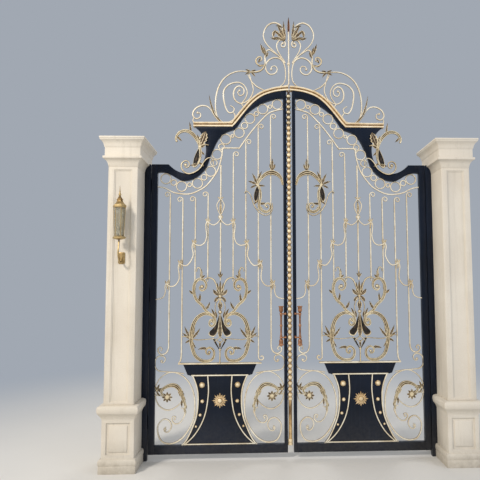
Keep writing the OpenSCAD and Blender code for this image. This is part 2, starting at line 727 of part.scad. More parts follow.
// Scrolls that stand on the cornice
module crest_scroll(pts, w = scroll_w, end = 0.6) {
    scroll(from_joint(pts), w, end);
}
module crest_leaf(p, a, l, w, lobes = 0, bend = 0, peak = 0.75) {
    leaf(from_joint([p])[0], a, l, w, lobes, bend, peak);
}
module on_cornice() {
    difference() {
        union()
        children();
        offset(delta = seat) {
            cornice_band(seat, cornice_h);
            polygon(concat(cornice_line, [[half_w, cornice_line[0][1] - 200], cornice_line[0] - [0, 200]]));
        }
        translate([half_w - finial_clear, 0])
        square([finial_clear + 200, crest_z + 200]);
    }
}
module crest() {
    color(gilt)
    union() {
        forge(-iron_t / 2, iron_t / 2)
        on_cornice() {
            // Heart
            crest_scroll([[-38, 4240], [-105, 4322], [-165, 4385], [-225, 4447], [-260, 4515],
                [-265, 4590], [-232, 4665], [-190, 4700], [-143, 4710], [-86, 4680], [-56, 4610],
                [-78, 4545], [-120, 4518], [-160, 4540], [-170, 4588], [-146, 4618], [-122, 4600]]);
            crest_scroll([[-34, 4250], [-90, 4335], [-120, 4400], [-125, 4460], [-96, 4505], [-57, 4507],
                [-34, 4470], [-42, 4434], [-70, 4430], [-78, 4458], [-62, 4470]]);
            // Lower scroll and its foot
            crest_scroll([[-98, 3965], [-50, 4015], [-34, 4080], [-36, 4165], [-54, 4245], [-92, 4290],
                [-150, 4303], [-208, 4275], [-243, 4220], [-238, 4155], [-200, 4112], [-148, 4120],
                [-122, 4163], [-140, 4203], [-178, 4198], [-186, 4168]]);
            // Outer arc from the shoulder
            crest_scroll([[-690, 3545], [-735, 3600], [-762, 3675], [-770, 3775], [-755, 3900],
                [-710, 4015], [-645, 4090], [-565, 4133], [-490, 4143], [-400, 4132]]);
            crest_scroll([[-682, 3560], [-750, 3625], [-790, 3705], [-812, 3765]], 13, 0.3);
            // Big spiral in two strands
            crest_scroll([[-420, 4120], [-390, 4010], [-376, 3915], [-418, 3822], [-500, 3777],
                [-565, 3815], [-582, 3885], [-560, 3950], [-515, 3970], [-474, 3932], [-480, 3878],
                [-518, 3865], [-538, 3898], [-520, 3918]]);
            crest_scroll([[-612, 3750], [-590, 3738], [-574, 3715], [-588, 3682], [-630, 3677],
                [-665, 3735], [-686, 3845], [-680, 3925], [-625, 3990], [-540, 4014], [-476, 3985],
                [-440, 3915], [-450, 3845], [-495, 3780]]);
            crest_scroll([[-590, 3682], [-566, 3650], [-574, 3604], [-615, 3578], [-665, 3550]], 14);
            crest_scroll([[-500, 3778], [-470, 3740], [-420, 3745]], 14);
            // Scroll on the shoulder and its sprig
            crest_scroll([[-700, 3545], [-775, 3633], [-815, 3702], [-858, 3742], [-920, 3748],
                [-982, 3712], [-1006, 3650], [-975, 3608], [-930, 3622], [-925, 3662], [-955, 3672]]);
            crest_scroll([[-990, 3625], [-1002, 3585], [-985, 3555]], 12);
            // Stay and side scroll
            crest_scroll([[-430, 4100], [-395, 4030], [-345, 3972], [-290, 3940], [-240, 3915]], 14);
            crest_scroll([[-425, 4128], [-330, 4135], [-275, 4170], [-250, 4235], [-250, 4305],
                [-235, 4376], [-200, 4392], [-145, 4355], [-62, 4292]]);
        }
        forge(-iron_t / 2 - leaf_t * 0.6, -iron_t / 2 + 2)
        on_cornice() {
            crest_scroll([[-425, 4128], [-330, 4135], [-275, 4168], [-252, 4225], [-262, 4215],
                [-300, 4205], [-338, 4230], [-345, 4270], [-322, 4302], [-290, 4300], [-286, 4268],
                [-308, 4256]], 20, 0.4);
            crest_leaf([-252, 4330], 118, 132, 15, 4, -16);
            crest_leaf([-250, 4330], 92, 92, 12, 3, 20);
            crest_leaf([-246, 4300], 52, 70, 12, 3, 30);
            crest_leaf([-262, 4215], -150, 70, 12, 3, -40);
            crest_leaf([-400, 4132], 155, 62, 12, 3);
            crest_leaf([-400, 4132], -155, 66, 12, 3);
            crest_leaf([-400, 4132], 28, 56, 11, 0, -20);
            crest_leaf([-400, 4132], -40, 70, 12, 3, -20);
            // Palmette, one half on each leaf
            crest_leaf([-33, 4510], 98, 205, 13, 4, -6);
            crest_leaf([-36, 4506], 114, 172, 14, 4, 8);
            crest_leaf([-40, 4502], 133, 138, 14, 4, 12);
            crest_leaf([-42, 4496], 156, 96, 13, 3, 16);
            crest_leaf([-776, 3640], 112, 230, 9, 0, -14);
            crest_leaf([-720, 3580], 128, 92, 10, 3, 10);
        }
    }
}

// Middle of the crest: a stem with a binding ball and a spear, standing on the left cornice
module crest_finial() {
    foot = lookup(half_w, arch_line) + cornice_h + seat;
    stem = 8;
    ball = level(4232);
    color(gilt)
    union() {
        forge(-iron_t / 2, iron_t / 2) {
            polygon([[half_w - 46, foot], [half_w - 7, foot], [half_w - 7, foot + 8],
                [half_w + stem, foot + 22],
                [half_w + stem, level(4600)], [half_w - stem, level(4600)], [half_w - stem, foot + 32],
                [half_w - 46, foot + 14]]);
            leaf([half_w, level(4560)], 90, crest_z - level(4560), 11, 0, 0, 0.9);
        }
        translate([half_w, 0, ball])
        sphere(r = finial_r);
        for (d = [-finial_r * 1.6, finial_r * 1.6])
            translate([half_w, 0, ball + d])
            sphere(r = finial_r * 0.6);
    }
}

// Flower-shaped end of a handle
module flower_cup() {
    rotate_extrude()
    polygon([[0, 0], [pull_r * 1.1, 0], [cup_r * 0.62, cup_r * 0.5], [cup_r * 0.8, cup_r * 1.1],
        [cup_r * 0.7, cup_r * 1.7], [cup_r, cup_r * 2.5], [cup_r * 0.72, cup_r * 2.4], [0, cup_r * 1.5]]);
}
module pull_handle() {
    x = at([1325, 0])[0];
    low = level(1212);
    high = level(1488);
    arm = at([1368, 0])[0] - x;
    color(gilt)
    union() {
        translate([x, -pull_out, low])
        cylinder(r = pull_r, h = high - low);
        translate([x, -pull_out, high - 4])
        flower_cup();
        translate([x, -pull_out, low + 4])
        mirror([0, 0, 1])
        flower_cup();
        translate([x, -pull_out, low - cup_r * 2.3])
        sphere(r = cup_r * 0.55);
        translate([x, -pull_out, low - cup_r * 2.3])
        cylinder(r = pull_r * 0.5, h = cup_r * 2);
        for (z = [low + 14, high - 14]) {
            translate([x, -pull_out, z])
            sphere(r = pull_r * 1.5);
            translate([x, -pull_out, z])
            rotate([0, 90, 0])
            cylinder(r = pull_r * 0.7, h = arm);
            translate([x + arm, -pull_out, z])
            sphere(r = pull_r * 0.9);
            translate([x + arm, -pull_out, z])
            rotate([-90, 0, 0])
            cylinder(r = pull_r * 0.7, h = pull_out - frame_d / 2 - seat);
            translate([x + arm, -frame_d / 2 - seat, z])
            rotate([90, 0, 0])
            cylinder(r = pull_r * 1.3, h = 4);
        }
    }
}

// Beaded rod that covers the joint between the leaves, carried by the left one
module astragal() {
    x = meet_face + seat + bead_r;
    foot = level(130);
    plain = level(190);
    collar = level(582);
    first = collar + 48;
    top = arch_z - 10;
    color(warm_gilt)
    translate([x, 0, 0])
    union() {
        translate([0, 0, foot])
        cylinder(r = bead_r, h = 22);
        translate([0, 0, foot + 20])
        cylinder(r = bead_r * 0.86, h = 16);
        translate([0, 0, foot + 34])
        cylinder(r = bead_r, h = plain - foot - 34);
        translate([0, 0, plain - 2])
        cylinder(r = bead_r * 0.7, h = collar - plain + 4);
        translate([0, 0, collar])
        cylinder(r = bead_r, h = 18);
        translate([0, 0, collar + 16])
        cylinder(r = bead_r * 0.55, h = top - collar - 16);
        for (z = [first:bead_pitch:top - bead_r])
            translate([0, 0, z])
            sphere(r = bead_r);
    }
}

// A block whose four sides follow one profile; the list holds how far out and how high
module moulded(w, d, pts) {
    margin = 4 * cap_out;
    intersection() {
        rotate([90, 0, 0])
        linear_extrude(d + margin, center = true)
        polygon(two_sides(pts, w / 2));
        rotate([90, 0, 90])
        linear_extrude(w + margin, center = true)
        polygon(two_sides(pts, d / 2));
    }
}
function two_sides(pts, half) = concat([for (p = pts) [half + p[0], p[1]]],
    [for (p = back(pts)) [-half - p[0], p[1]]]);
function profile(pts, out, z, h) = [for (p = pts) [p[0] * out, z + p[1] * h]];
// The mouldings stop at the jamb, with room for the hinges
module jamb_notch() {
    translate([pier_w / 2, -frame_d / 2 - seat, -1])
    cube([200, frame_d / 2 + hinge_y + barrel_r + 8, stile_top + 16]);
}
module at_pier() {
    translate([0, pier_d / 2 - pier_front, 0])
    children();
}
// A shallow panel with a step round it, sunk in the front and the back of a pier
module sunk_panels(w, z0, z1) {
    for (s = [-1, 1]) {
        translate([-w / 2, s * pier_d / 2 - sunk, z0])
        cube([w, 2 * sunk, z1 - z0]);
        translate([-w / 2 - 9, s * pier_d / 2 - sunk * 0.45, z0 - 9])
        cube([w + 18, sunk * 0.9, z1 - z0 + 18]);
    }
}

module pier_base() {
    panel_w = pier_w - 60;
    color(masonry)
    difference() {
        at_pier()
        difference() {
            moulded(pier_w, pier_d, profile([[0.6, 0], [0.6, 0.108], [0.56, 0.112], [0.66, 0.13],
                [0.7, 0.16], [0.66, 0.19], [0.5, 0.21], [0.2, 0.215], [0.2, 0.785], [0.26, 0.8],
                [0.4, 0.83], [0.62, 0.86], [0.84, 0.88], [0.9, 0.888], [0.98, 0.915], [1, 0.94],
                [0.98, 0.965], [0.88, 0.985], [0.8, 0.99], [0.3, 1]], base_out, 0, base_h));
            for (s = [-1, 1])
                translate([-panel_w / 2, s * (pier_d / 2 + base_out * 0.2) - sunk, base_h * 0.27])
                cube([panel_w, 2 * sunk, base_h * 0.47]);
        }
        jamb_notch();
    }
    // Raised field in the middle of the sunk panel, front and back
    color(masonry)
    at_pier()
    for (s = [-1, 1])
        translate([-panel_w / 2 + 26, s * (pier_d / 2 + base_out * 0.2 - sunk) - 8, base_h * 0.31])
        cube([panel_w - 52, 16, base_h * 0.39]);
}
module pier_shaft() {
    color(masonry)
    difference() {
        at_pier()
        translate([-pier_w / 2, -pier_d / 2, base_h])
        cube([pier_w, pier_d, pier_h - cap_h - base_h]);
        at_pier()
        sunk_panels(pier_w - 2 * panel_edge, base_h + 30, pier_h - cap_h - 36);
    }
}
module pier_cap() {
    color(masonry)
    difference() {
        at_pier()
        moulded(pier_w, pier_d, profile([[0, 0], [0.04, 0.05], [0.1, 0.12], [0.2, 0.18], [0.36, 0.235],
            [0.55, 0.27], [0.62, 0.27], [0.62, 0.35], [0.4, 0.35], [0.4, 0.64], [0.46, 0.66],
            [0.5, 0.71], [0.56, 0.77], [0.68, 0.83], [0.84, 0.875], [0.94, 0.9], [0.94, 0.94], [1, 0.94],
            [1, 1]], cap_out, pier_h - cap_h, cap_h));
        jamb_notch();
    }
}

// Post beside each pier with the fixed halves of the hinges
module jamb() {
    finial_r = barrel_r * 0.75;
    color(navy)
    union() {
        translate([-jamb_w - hinge_gap, -frame_d / 2, 0])
        cube([jamb_w, frame_d, stile_top]);
        for (z = hinge_heights) {
            translate([0, hinge_y, z - barrel_h])
            cylinder(r = barrel_r, h = barrel_h);
            translate([0, hinge_y, z - barrel_h])
            cylinder(r = pin_r, h = 2 * barrel_h + 10);
            translate([0, hinge_y, z + barrel_h + 12])
            sphere(r = finial_r);
            translate([-jamb_w * 0.7, frame_d / 2 - 1, z - barrel_h])
            cube([jamb_w * 0.7, barrel_r * 0.5, barrel_h]);
        }
    }
}

// Lantern on a bracket in the left pier's panel
module wall_lantern() {
    glass_h = 265;
    plate_h = 114;
    plate_z = lantern_z - 235;
    wall = -pier_front + sunk - seat;
    y = -pier_front - lantern_out;
    color(warm_gilt)
    union() {
        translate([0, y, lantern_z]) {
            rotate_extrude()
            polygon([[0, -34], [9, -26], [5, -14], [22, -8], [lantern_r - 4, 0], [lantern_r, 6],
                [lantern_r, 16],
                [lantern_r - 8, 20], [lantern_r * 0.66, 26], [lantern_r * 0.86, 26 + glass_h],
                [lantern_r - 2, 32 + glass_h], [lantern_r, 40 + glass_h], [lantern_r, 48 + glass_h],
                [lantern_r * 0.9, 54 + glass_h], [lantern_r * 0.6, 72 + glass_h],
                [lantern_r * 0.4, 96 + glass_h],
                [lantern_r * 0.34, 122 + glass_h], [lantern_r * 0.2, 138 + glass_h], [0, 140 + glass_h]]);
            translate([0, 0, 152 + glass_h])
            sphere(r = 14);
            translate([0, 0, 150 + glass_h])
            cylinder(r1 = 8, r2 = 1.5, h = 88);
        }
        // Plate on the pier and the curved arm
        translate([-33, wall - 9, plate_z])
        cube([66, 9, plate_h]);
        translate([-7, 0, 0])
        rotate([90, 0, 90])
        linear_extrude(14)
        offset(delta = -0.01)
        ribbon(smooth([[wall - 8, plate_z + 60], [wall - 40, plate_z + 20], [y + 20, plate_z + 30],
            [y - 22, plate_z + 90], [y - 12, plate_z + 160], [y, lantern_z - 20]]), [9, 8, 7]);
    }
}

pier_base();  // left_pier_base
pier_shaft();  // left_pier_shaft
pier_cap();  // left_pier_cap
left_leaf() jamb();  // left_jamb
wall_lantern();
right_pier() pier_base();  // right_pier_base
right_pier() pier_shaft();  // right_pier_shaft
right_pier() pier_cap();  // right_pier_cap
right_leaf() jamb();  // right_jamb
left_leaf() hinge_stile();  // left_hinge_stile
left_leaf() meeting_stile();  // left_meeting_stile
left_leaf() bottom_rail();  // left_bottom_rail
left_leaf() head();  // left_head
left_leaf() cornice();  // left_cornice
left_leaf() ring_frieze();  // left_ring_frieze
left_leaf() bars();  // left_bars
left_leaf() garland();  // left_garland
left_leaf() cartouche();  // left_cartouche
left_leaf() acanthus_scroll();  // left_acanthus_scroll
left_leaf() shoulder_scroll();  // left_shoulder_scroll
left_leaf() panel();  // left_panel
left_leaf() panel_trim();  // left_panel_trim
left_leaf() bosses();  // left_bosses
left_leaf() lower_scrolls();  // left_lower_scrolls
left_leaf() crest();  // left_crest
left_leaf() pull_handle();  // left_pull_handle
left_leaf() astragal();
left_leaf() crest_finial();
right_leaf() hinge_stile();  // right_hinge_stile
right_leaf() meeting_stile();  // right_meeting_stile
right_leaf() bottom_rail();  // right_bottom_rail
right_leaf() head();  // right_head
right_leaf() cornice();  // right_cornice
right_leaf() ring_frieze();  // right_ring_frieze
right_leaf() bars();  // right_bars
right_leaf() garland();  // right_garland
right_leaf() cartouche();  // right_cartouche
right_leaf() acanthus_scroll();  // right_acanthus_scroll
right_leaf() shoulder_scroll();  // right_shoulder_scroll
right_leaf() panel();  // right_panel
right_leaf() panel_trim();  // right_panel_trim
right_leaf() bosses();  // right_bosses
right_leaf() lower_scrolls();  // right_lower_scrolls
right_leaf() crest();  // right_crest
right_leaf() pull_handle();  // right_pull_handle
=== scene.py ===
import json
import math

import bmesh
import bpy
import numpy as np
from mathutils import Matrix, Vector


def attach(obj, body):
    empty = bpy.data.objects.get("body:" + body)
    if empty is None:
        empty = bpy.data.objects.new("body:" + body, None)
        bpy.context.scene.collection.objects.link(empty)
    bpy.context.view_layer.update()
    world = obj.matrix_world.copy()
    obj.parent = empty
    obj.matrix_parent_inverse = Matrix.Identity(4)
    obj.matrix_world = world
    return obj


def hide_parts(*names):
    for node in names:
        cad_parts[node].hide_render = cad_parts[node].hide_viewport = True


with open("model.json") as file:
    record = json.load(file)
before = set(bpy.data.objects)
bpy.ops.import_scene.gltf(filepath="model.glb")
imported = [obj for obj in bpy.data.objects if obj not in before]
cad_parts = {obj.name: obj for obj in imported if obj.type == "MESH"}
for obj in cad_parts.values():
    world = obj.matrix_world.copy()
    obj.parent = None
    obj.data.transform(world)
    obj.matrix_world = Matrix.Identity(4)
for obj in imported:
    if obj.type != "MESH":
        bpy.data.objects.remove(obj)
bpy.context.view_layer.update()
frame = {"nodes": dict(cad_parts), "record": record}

NODES = frame["nodes"]
MM = 0.001
HINGES = {j["name"]: j["pos_m"][0] / MM for j in frame["record"]["behaviour"]["joints"]}
HINGE = HINGES["left_hinge"]
MIDDLE = (HINGES["left_hinge"] + HINGES["right_hinge"]) / 2

# Colours and materials


def linear(code):
    """An sRGB hex colour as the linear values that shaders take."""
    out = []
    for i in (1, 3, 5):
        c = int(code[i:i + 2], 16) / 255
        out.append(c / 12.92 if c <= 0.04045 else ((c + 0.055) / 1.055) ** 2.4)
    return (*out, 1.0)


def add(tree, kind, inputs=None, stops=(), **settings):
    """A node with its settings; inputs are constants or other nodes' outputs, stops are a ramp's colours."""
    n = tree.nodes.new(kind)
    for k, v in settings.items():
        setattr(n, k, v)
    for k, v in (inputs or {}).items():
        if isinstance(v, bpy.types.NodeSocket):
            tree.links.new(v, n.inputs[k])
        else:
            n.inputs[k].default_value = v
    if stops:
        e = n.color_ramp.elements
        while len(e) < len(stops):
            e.new(0.5)
        for el, (pos, code) in zip(e, stops):
            el.position, el.color = pos, linear(code)
    return n


def start(name):
    """A new material's tree and the Object coordinates in it."""
    mat = bpy.data.materials.new(name)
    mat.use_nodes = True
    mat.node_tree.nodes.clear()
    return mat, mat.node_tree, add(mat.node_tree, "ShaderNodeTexCoord").outputs["Object"]


def finish(mat, shader):
    out = add(mat.node_tree, "ShaderNodeOutputMaterial", {"Surface": shader.outputs[0]})
    out.is_active_output = True
    return mat


def per(size_mm):
    """The scale at which a pattern's patches are about that many millimetres across."""
    return 1 / (size_mm * MM)


def navy_enamel():
    mat, t, place = start("navy_enamel_satin")
    # Coats laid by brush: deep navy that shifts a little over the length of an arm
    cloud = add(t, "ShaderNodeTexNoise", {"Vector": place, "Scale": per(420), "Detail": 2})
    body = add(t, "ShaderNodeValToRGB", {"Fac": cloud.outputs[0]}, [(0.3, "#08111f"), (0.72, "#0d1a2e")])
    # Upright brush marks and rain streaks, so faint that only the sheen shows them
    tall = add(t, "ShaderNodeMapping", {"Vector": place, "Scale": (per(22), per(22), per(420))})
    streak = add(t, "ShaderNodeTexNoise", {"Vector": tall.outputs[0], "Scale": 1, "Detail": 4})
    worn = add(t, "ShaderNodeMapRange", {"Value": streak.outputs[0], "From Min": 0.55, "From Max": 0.85,
                                         "To Max": 0.12})
    body = add(t, "ShaderNodeMix", {0: worn.outputs[0], 6: body.outputs[0], 7: linear("#3f4a5c")},
               data_type="RGBA")
    # Road dust on the lowest half metre
    z = add(t, "ShaderNodeSeparateXYZ", {0: place})
    low = add(t, "ShaderNodeMapRange", {"Value": z.outputs["Z"], "From Min": 0.5, "From Max": 0.05,
                                        "To Max": 0.3})
    speck = add(t, "ShaderNodeTexNoise", {"Vector": place, "Scale": per(30), "Detail": 5})
    dust = add(t, "ShaderNodeMath", {0: low.outputs[0], 1: speck.outputs[0]}, operation="MULTIPLY")
    body = add(t, "ShaderNodeMix", {0: dust.outputs[0], 6: body.outputs[2], 7: linear("#6f6a60")},
               data_type="RGBA")
    # Satin, duller where handled; orange peel of the sprayed top coat
    gloss = add(t, "ShaderNodeTexNoise", {"Vector": place, "Scale": per(90), "Detail": 3})
    rough = add(t, "ShaderNodeMapRange", {"Value": gloss.outputs[0], "From Min": 0.3, "From Max": 0.7,
                                          "To Min": 0.3, "To Max": 0.46})
    peel = add(t, "ShaderNodeTexNoise", {"Vector": place, "Scale": per(4), "Detail": 2})
    bump = add(t, "ShaderNodeBump", {"Height": peel.outputs[0], "Strength": 0.3, "Distance": 0.25 * MM})
    return finish(mat, add(t, "ShaderNodeBsdfPrincipled", {
        "Base Color": body.outputs[2], "Roughness": rough.outputs[0], "Normal": bump.outputs[0],
        "Specular IOR Level": 0.25}))


def rubbed_and_shaded(name, dark, body, bright, at, metallic, rough):
    """Painted or gilded iron with ridges rubbed bright and painted shade in places: dark, body and bright by
    the mesh's rub_and_shade value.
    """
    mat, t, place = start(name)
    # The rub_and_shade value follows the relief, rubbed bright on ridges and painted shade down bars' sides;
    # noise makes its edges uneven, as a cloth leaves them
    rub_and_shade = add(t, "ShaderNodeAttribute", attribute_name="rub_and_shade")
    patch = add(t, "ShaderNodeTexNoise", {"Vector": place, "Scale": per(26), "Detail": 4})
    sway = add(t, "ShaderNodeMapRange", {"Value": patch.outputs[0], "From Min": 0.3, "From Max": 0.7,
                                         "To Min": -0.16, "To Max": 0.14})
    wear_and_shade = add(t, "ShaderNodeMath", {0: rub_and_shade.outputs["Fac"], 1: sway.outputs[0]}, operation="ADD")
    tone = add(t, "ShaderNodeValToRGB", {"Fac": wear_and_shade.outputs[0]}, [(0.05, dark), (at, body), (0.95, bright)])
    # Browner stretches, a hand's width long, as weather leaves on old gilding
    age = add(t, "ShaderNodeTexNoise", {"Vector": place, "Scale": per(150), "Detail": 3})
    tint = add(t, "ShaderNodeValToRGB", {"Fac": age.outputs[0]}, [(0.34, "#cdb894"), (0.6, "#ffffff")])
    tone = add(t, "ShaderNodeMix", {0: 0.5, 6: tone.outputs[0], 7: tint.outputs[0]}, data_type="RGBA",
               blend_type="MULTIPLY")
    gloss = add(t, "ShaderNodeTexNoise", {"Vector": place, "Scale": per(18), "Detail": 3})
    satin = add(t, "ShaderNodeMapRange", {"Value": gloss.outputs[0], "From Min": 0.3, "From Max": 0.7,
                                          "To Min": rough - 0.08, "To Max": rough + 0.08})
    # Hammered and brushed skin, a few tenths of a millimetre deep
    skin_mark = add(t, "ShaderNodeTexNoise", {"Vector": place, "Scale": per(3.5), "Detail": 3})
    bump = add(t, "ShaderNodeBump", {"Height": skin_mark.outputs[0], "Strength": 0.35, "Distance": 0.3 * MM})
    return finish(mat, add(t, "ShaderNodeBsdfPrincipled", {
        "Base Color": tone.outputs[2], "Metallic": metallic, "Roughness": satin.outputs[0],
        "Normal": bump.outputs[0]}))


def painted_stone():
    mat, t, place = start("masonry_painted_off_white")
    # Limewashed stone: warm off-white in clouds half a metre wide, finely mottled
    cloud = add(t, "ShaderNodeTexNoise", {"Vector": place, "Scale": per(480), "Detail": 4})
    body = add(t, "ShaderNodeValToRGB", {"Fac": cloud.outputs[0]}, [(0.3, "#ddd5c7"), (0.7, "#ece6da")])
    mottle = add(t, "ShaderNodeTexNoise", {"Vector": place, "Scale": per(9), "Detail": 5, "Roughness": 0.7})
    fleck = add(t, "ShaderNodeValToRGB", {"Fac": mottle.outputs[0]}, [(0.2, "#dcd3c3"), (0.75, "#ffffff")])
    body = add(t, "ShaderNodeMix", {0: 0.4, 6: body.outputs[0], 7: fleck.outputs[0]}, data_type="RGBA",
               blend_type="MULTIPLY")
    # Rain runs down the faces from the mouldings
    tall = add(t, "ShaderNodeMapping", {"Vector": place, "Scale": (per(38), per(38), per(900))})
    run = add(t, "ShaderNodeTexNoise", {"Vector": tall.outputs[0], "Scale": 1, "Detail": 5,
                                        "Roughness": 0.65})
    stain = add(t, "ShaderNodeMapRange", {"Value": run.outputs[0], "From Min": 0.54, "From Max": 0.8,
                                          "To Max": 0.3})
    body = add(t, "ShaderNodeMix", {0: stain.outputs[0], 6: body.outputs[2], 7: linear("#9f957f")},
               data_type="RGBA")
    # Splashed dirt at the foot, thinning out a hand above the ground
    z = add(t, "ShaderNodeSeparateXYZ", {0: place})
    low = add(t, "ShaderNodeMapRange", {"Value": z.outputs["Z"], "From Min": 0.3, "From Max": 0.0,
                                        "To Max": 0.85})
    splash = add(t, "ShaderNodeTexNoise", {"Vector": place, "Scale": per(55), "Detail": 6, "Roughness": 0.65})
    dirt = add(t, "ShaderNodeMath", {0: low.outputs[0], 1: splash.outputs[0]}, operation="MULTIPLY")
    body = add(t, "ShaderNodeMix", {0: dirt.outputs[0], 6: body.outputs[2], 7: linear("#857b69")},
               data_type="RGBA")
    # Trowelled grain under the paint
    grain = add(t, "ShaderNodeTexNoise", {"Vector": place, "Scale": per(2.6), "Detail": 4, "Roughness": 0.7})
    bump = add(t, "ShaderNodeBump", {"Height": grain.outputs[0], "Strength": 0.4, "Distance": 0.6 * MM})
    wave = add(t, "ShaderNodeTexNoise", {"Vector": place, "Scale": per(45), "Detail": 3})
    bump = add(t, "ShaderNodeBump", {"Height": wave.outputs[0], "Strength": 0.3, "Distance": 2 * MM,
                                     "Normal": bump.outputs[0]})
    return finish(mat, add(t, "ShaderNodeBsdfPrincipled", {
        "Base Color": body.outputs[2], "Roughness": 0.8, "Normal": bump.outputs[0]}))


def lamp_glass():
    mat, t, place = start("lantern_glass_dusty")
    # Clear panes with a film of dust, denser in patches, so that they read in front of the pier
    film = add(t, "ShaderNodeTexNoise", {"Vector": place, "Scale": per(35), "Detail": 4})
    tint = add(t, "ShaderNodeValToRGB", {"Fac": film.outputs[0]}, [(0.3, "#eef0ea"), (0.75, "#cfc8b4")])
    blur = add(t, "ShaderNodeMapRange", {"Value": film.outputs[0], "From Min": 0.3, "From Max": 0.8,
                                         "To Min": 0.04, "To Max": 0.3})
    return finish(mat, add(t, "ShaderNodeBsdfPrincipled", {
        "Base Color": tint.outputs[0], "Roughness": blur.outputs[0],
        "Transmission Weight": 0.85, "IOR": 1.45}))


def lamp_opal():
    mat, t, place = start("lantern_lamp_opal")
    # Candle-shaped lamp of opal glass, switched off: milky, with soft clouds of cream
    cloud = add(t, "ShaderNodeTexNoise", {"Vector": place, "Scale": per(12), "Detail": 4})
    body = add(t, "ShaderNodeValToRGB", {"Fac": cloud.outputs[0]}, [(0.3, "#f0e6cf"), (0.75, "#fff8ea")])
    bump = add(t, "ShaderNodeBump", {"Height": cloud.outputs[0], "Strength": 0.2, "Distance": 0.3 * MM})
    return finish(mat, add(t, "ShaderNodeBsdfPrincipled", {
        "Base Color": body.outputs[0], "Roughness": 0.3, "Normal": bump.outputs[0]}))


MAT = {
    "navy": navy_enamel(),
    # Champagne gilt of the bars and scrolls: cream on the faces, brown down the sides as painted shade
    "gilt": rubbed_and_shaded("gilt_champagne_rubbed_painted_shade", "#54412a", "#cbbb96", "#f8f1de", 0.5, 0.1, 0.48),
    # The cornice is gilded palest, two cream beads with a tan hollow of painted shade
    "cream": rubbed_and_shaded("gilt_cornice_cream", "#8a683c", "#e6c894", "#fff2d6", 0.45, 0.05, 0.5),
    # Warmer gilt of the studs and the beads
    "warm": rubbed_and_shaded("gilt_warm_satin", "#6a4d2a", "#dcb981", "#fdecc8", 0.5, 0.12, 0.42),
    # Bronze leaves: near black in the hollows, cream gold on the rims; bars in it are painted shade dark down
    # their sides
    "bronze": rubbed_and_shaded("bronze_antique_rubbed_painted_shade", "#1b1510", "#685238", "#ecdfbd", 0.52, 0.2, 0.46),
    # Red-brown bronze of the handles and the plain rods
    "brown": rubbed_and_shaded("bronze_red_brown", "#2a1a10", "#70492f", "#b98662", 0.55, 0.35, 0.42),
    "brass": rubbed_and_shaded("lantern_brass_aged", "#3a2c17", "#94794a", "#d8c08c", 0.55, 0.55, 0.4),
    "stone": painted_stone(),
    "glass": lamp_glass(),
    "opal": lamp_opal(),
}

# Pieces

# Edges that turn by more degrees than this stay sharp under smooth shading
SHARP_EDGE = 40


def body_of(node):
    """The moving or fixed body that a CAD node belongs to."""
    for b, members in frame["record"]["behaviour"]["bodies"].items():
        if node in members:
            return b


def add_piece(name, mesh, mat, body, replaces=()):
    """Puts a mesh in the scene as a piece of that body, with its material and smooth shading."""
    mesh.name = name
    obj = bpy.data.objects.new(name, mesh)
    bpy.context.scene.collection.objects.link(obj)
    mesh.materials.clear()
    mesh.materials.append(MAT[mat])
    mesh.polygons.foreach_set("use_smooth", [True] * len(mesh.polygons))
    mesh.set_sharp_from_angle(angle=math.radians(SHARP_EDGE))
    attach(obj, body)
    for n in replaces:
        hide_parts(n)
    return obj


def mesh_of(name, shells, shift=(0, 0, 0)):
    """One mesh from closed shells, which are given as (points in mm, faces, rub values)."""
    points, faces, rub_and_shade, n = [], [], [], 0
    for v, f, r in shells:
        points.append(v)
        faces += [tuple(i + n for i in q) for q in f]
        rub_and_shade.append(r)
        n += len(v)
    me = bpy.data.meshes.new(name)
    me.from_pydata(((np.concatenate(points) + shift) * MM).tolist(), [], faces)
    rub_and_shade = np.concatenate(rub_and_shade).astype(np.float32)
    me.attributes.new("rub_and_shade", "FLOAT", "POINT").data.foreach_set("value", rub_and_shade)
    me.validate()
    me.update()
    return me


def piece(name, shells, mat, body, replaces=(), shift=(0, 0, 0)):
    """A piece made of closed shells."""
    return add_piece(name, mesh_of(name, shells, shift), mat, body, replaces)


def mirrored(mesh, name):
    """The left leaf's piece as the right leaf's, mirrored at the middle of the gateway."""
    me = mesh.copy()
    me.name = name
    co = np.zeros(len(me.vertices) * 3, np.float32)
    me.vertices.foreach_get("co", co)
    co = co.reshape(-1, 3)
    co[:, 0] = 2 * MIDDLE * MM - co[:, 0]
    me.vertices.foreach_set("co", co.ravel())
    me.flip_normals()
    me.update()
    return me


def on_leaves(kind, mat, shells, replace=True, tag=""):
    """A piece of the left leaf, drawn from its hinge axis, and its mirror on the right leaf."""
    left = mesh_of("left_" + kind + tag, shells, (HINGE, 0, 0))
    for side, me in (("left_", left), ("right_", mirrored(left, "right_" + kind + tag))):
        add_piece(side + kind + tag + "_piece", me, mat, side + "leaf", [side + kind] if replace else [])


# Eased edges of a CAD copy: points nearer than the merge (mm) are joined, and so are faces within the flat
# angle; edges over the hard angle (degrees) are rounded in that many steps
MERGE = 0.02
FLAT_ANGLE = 1.5
HARD_ANGLE = 28
EASE_STEPS = 2


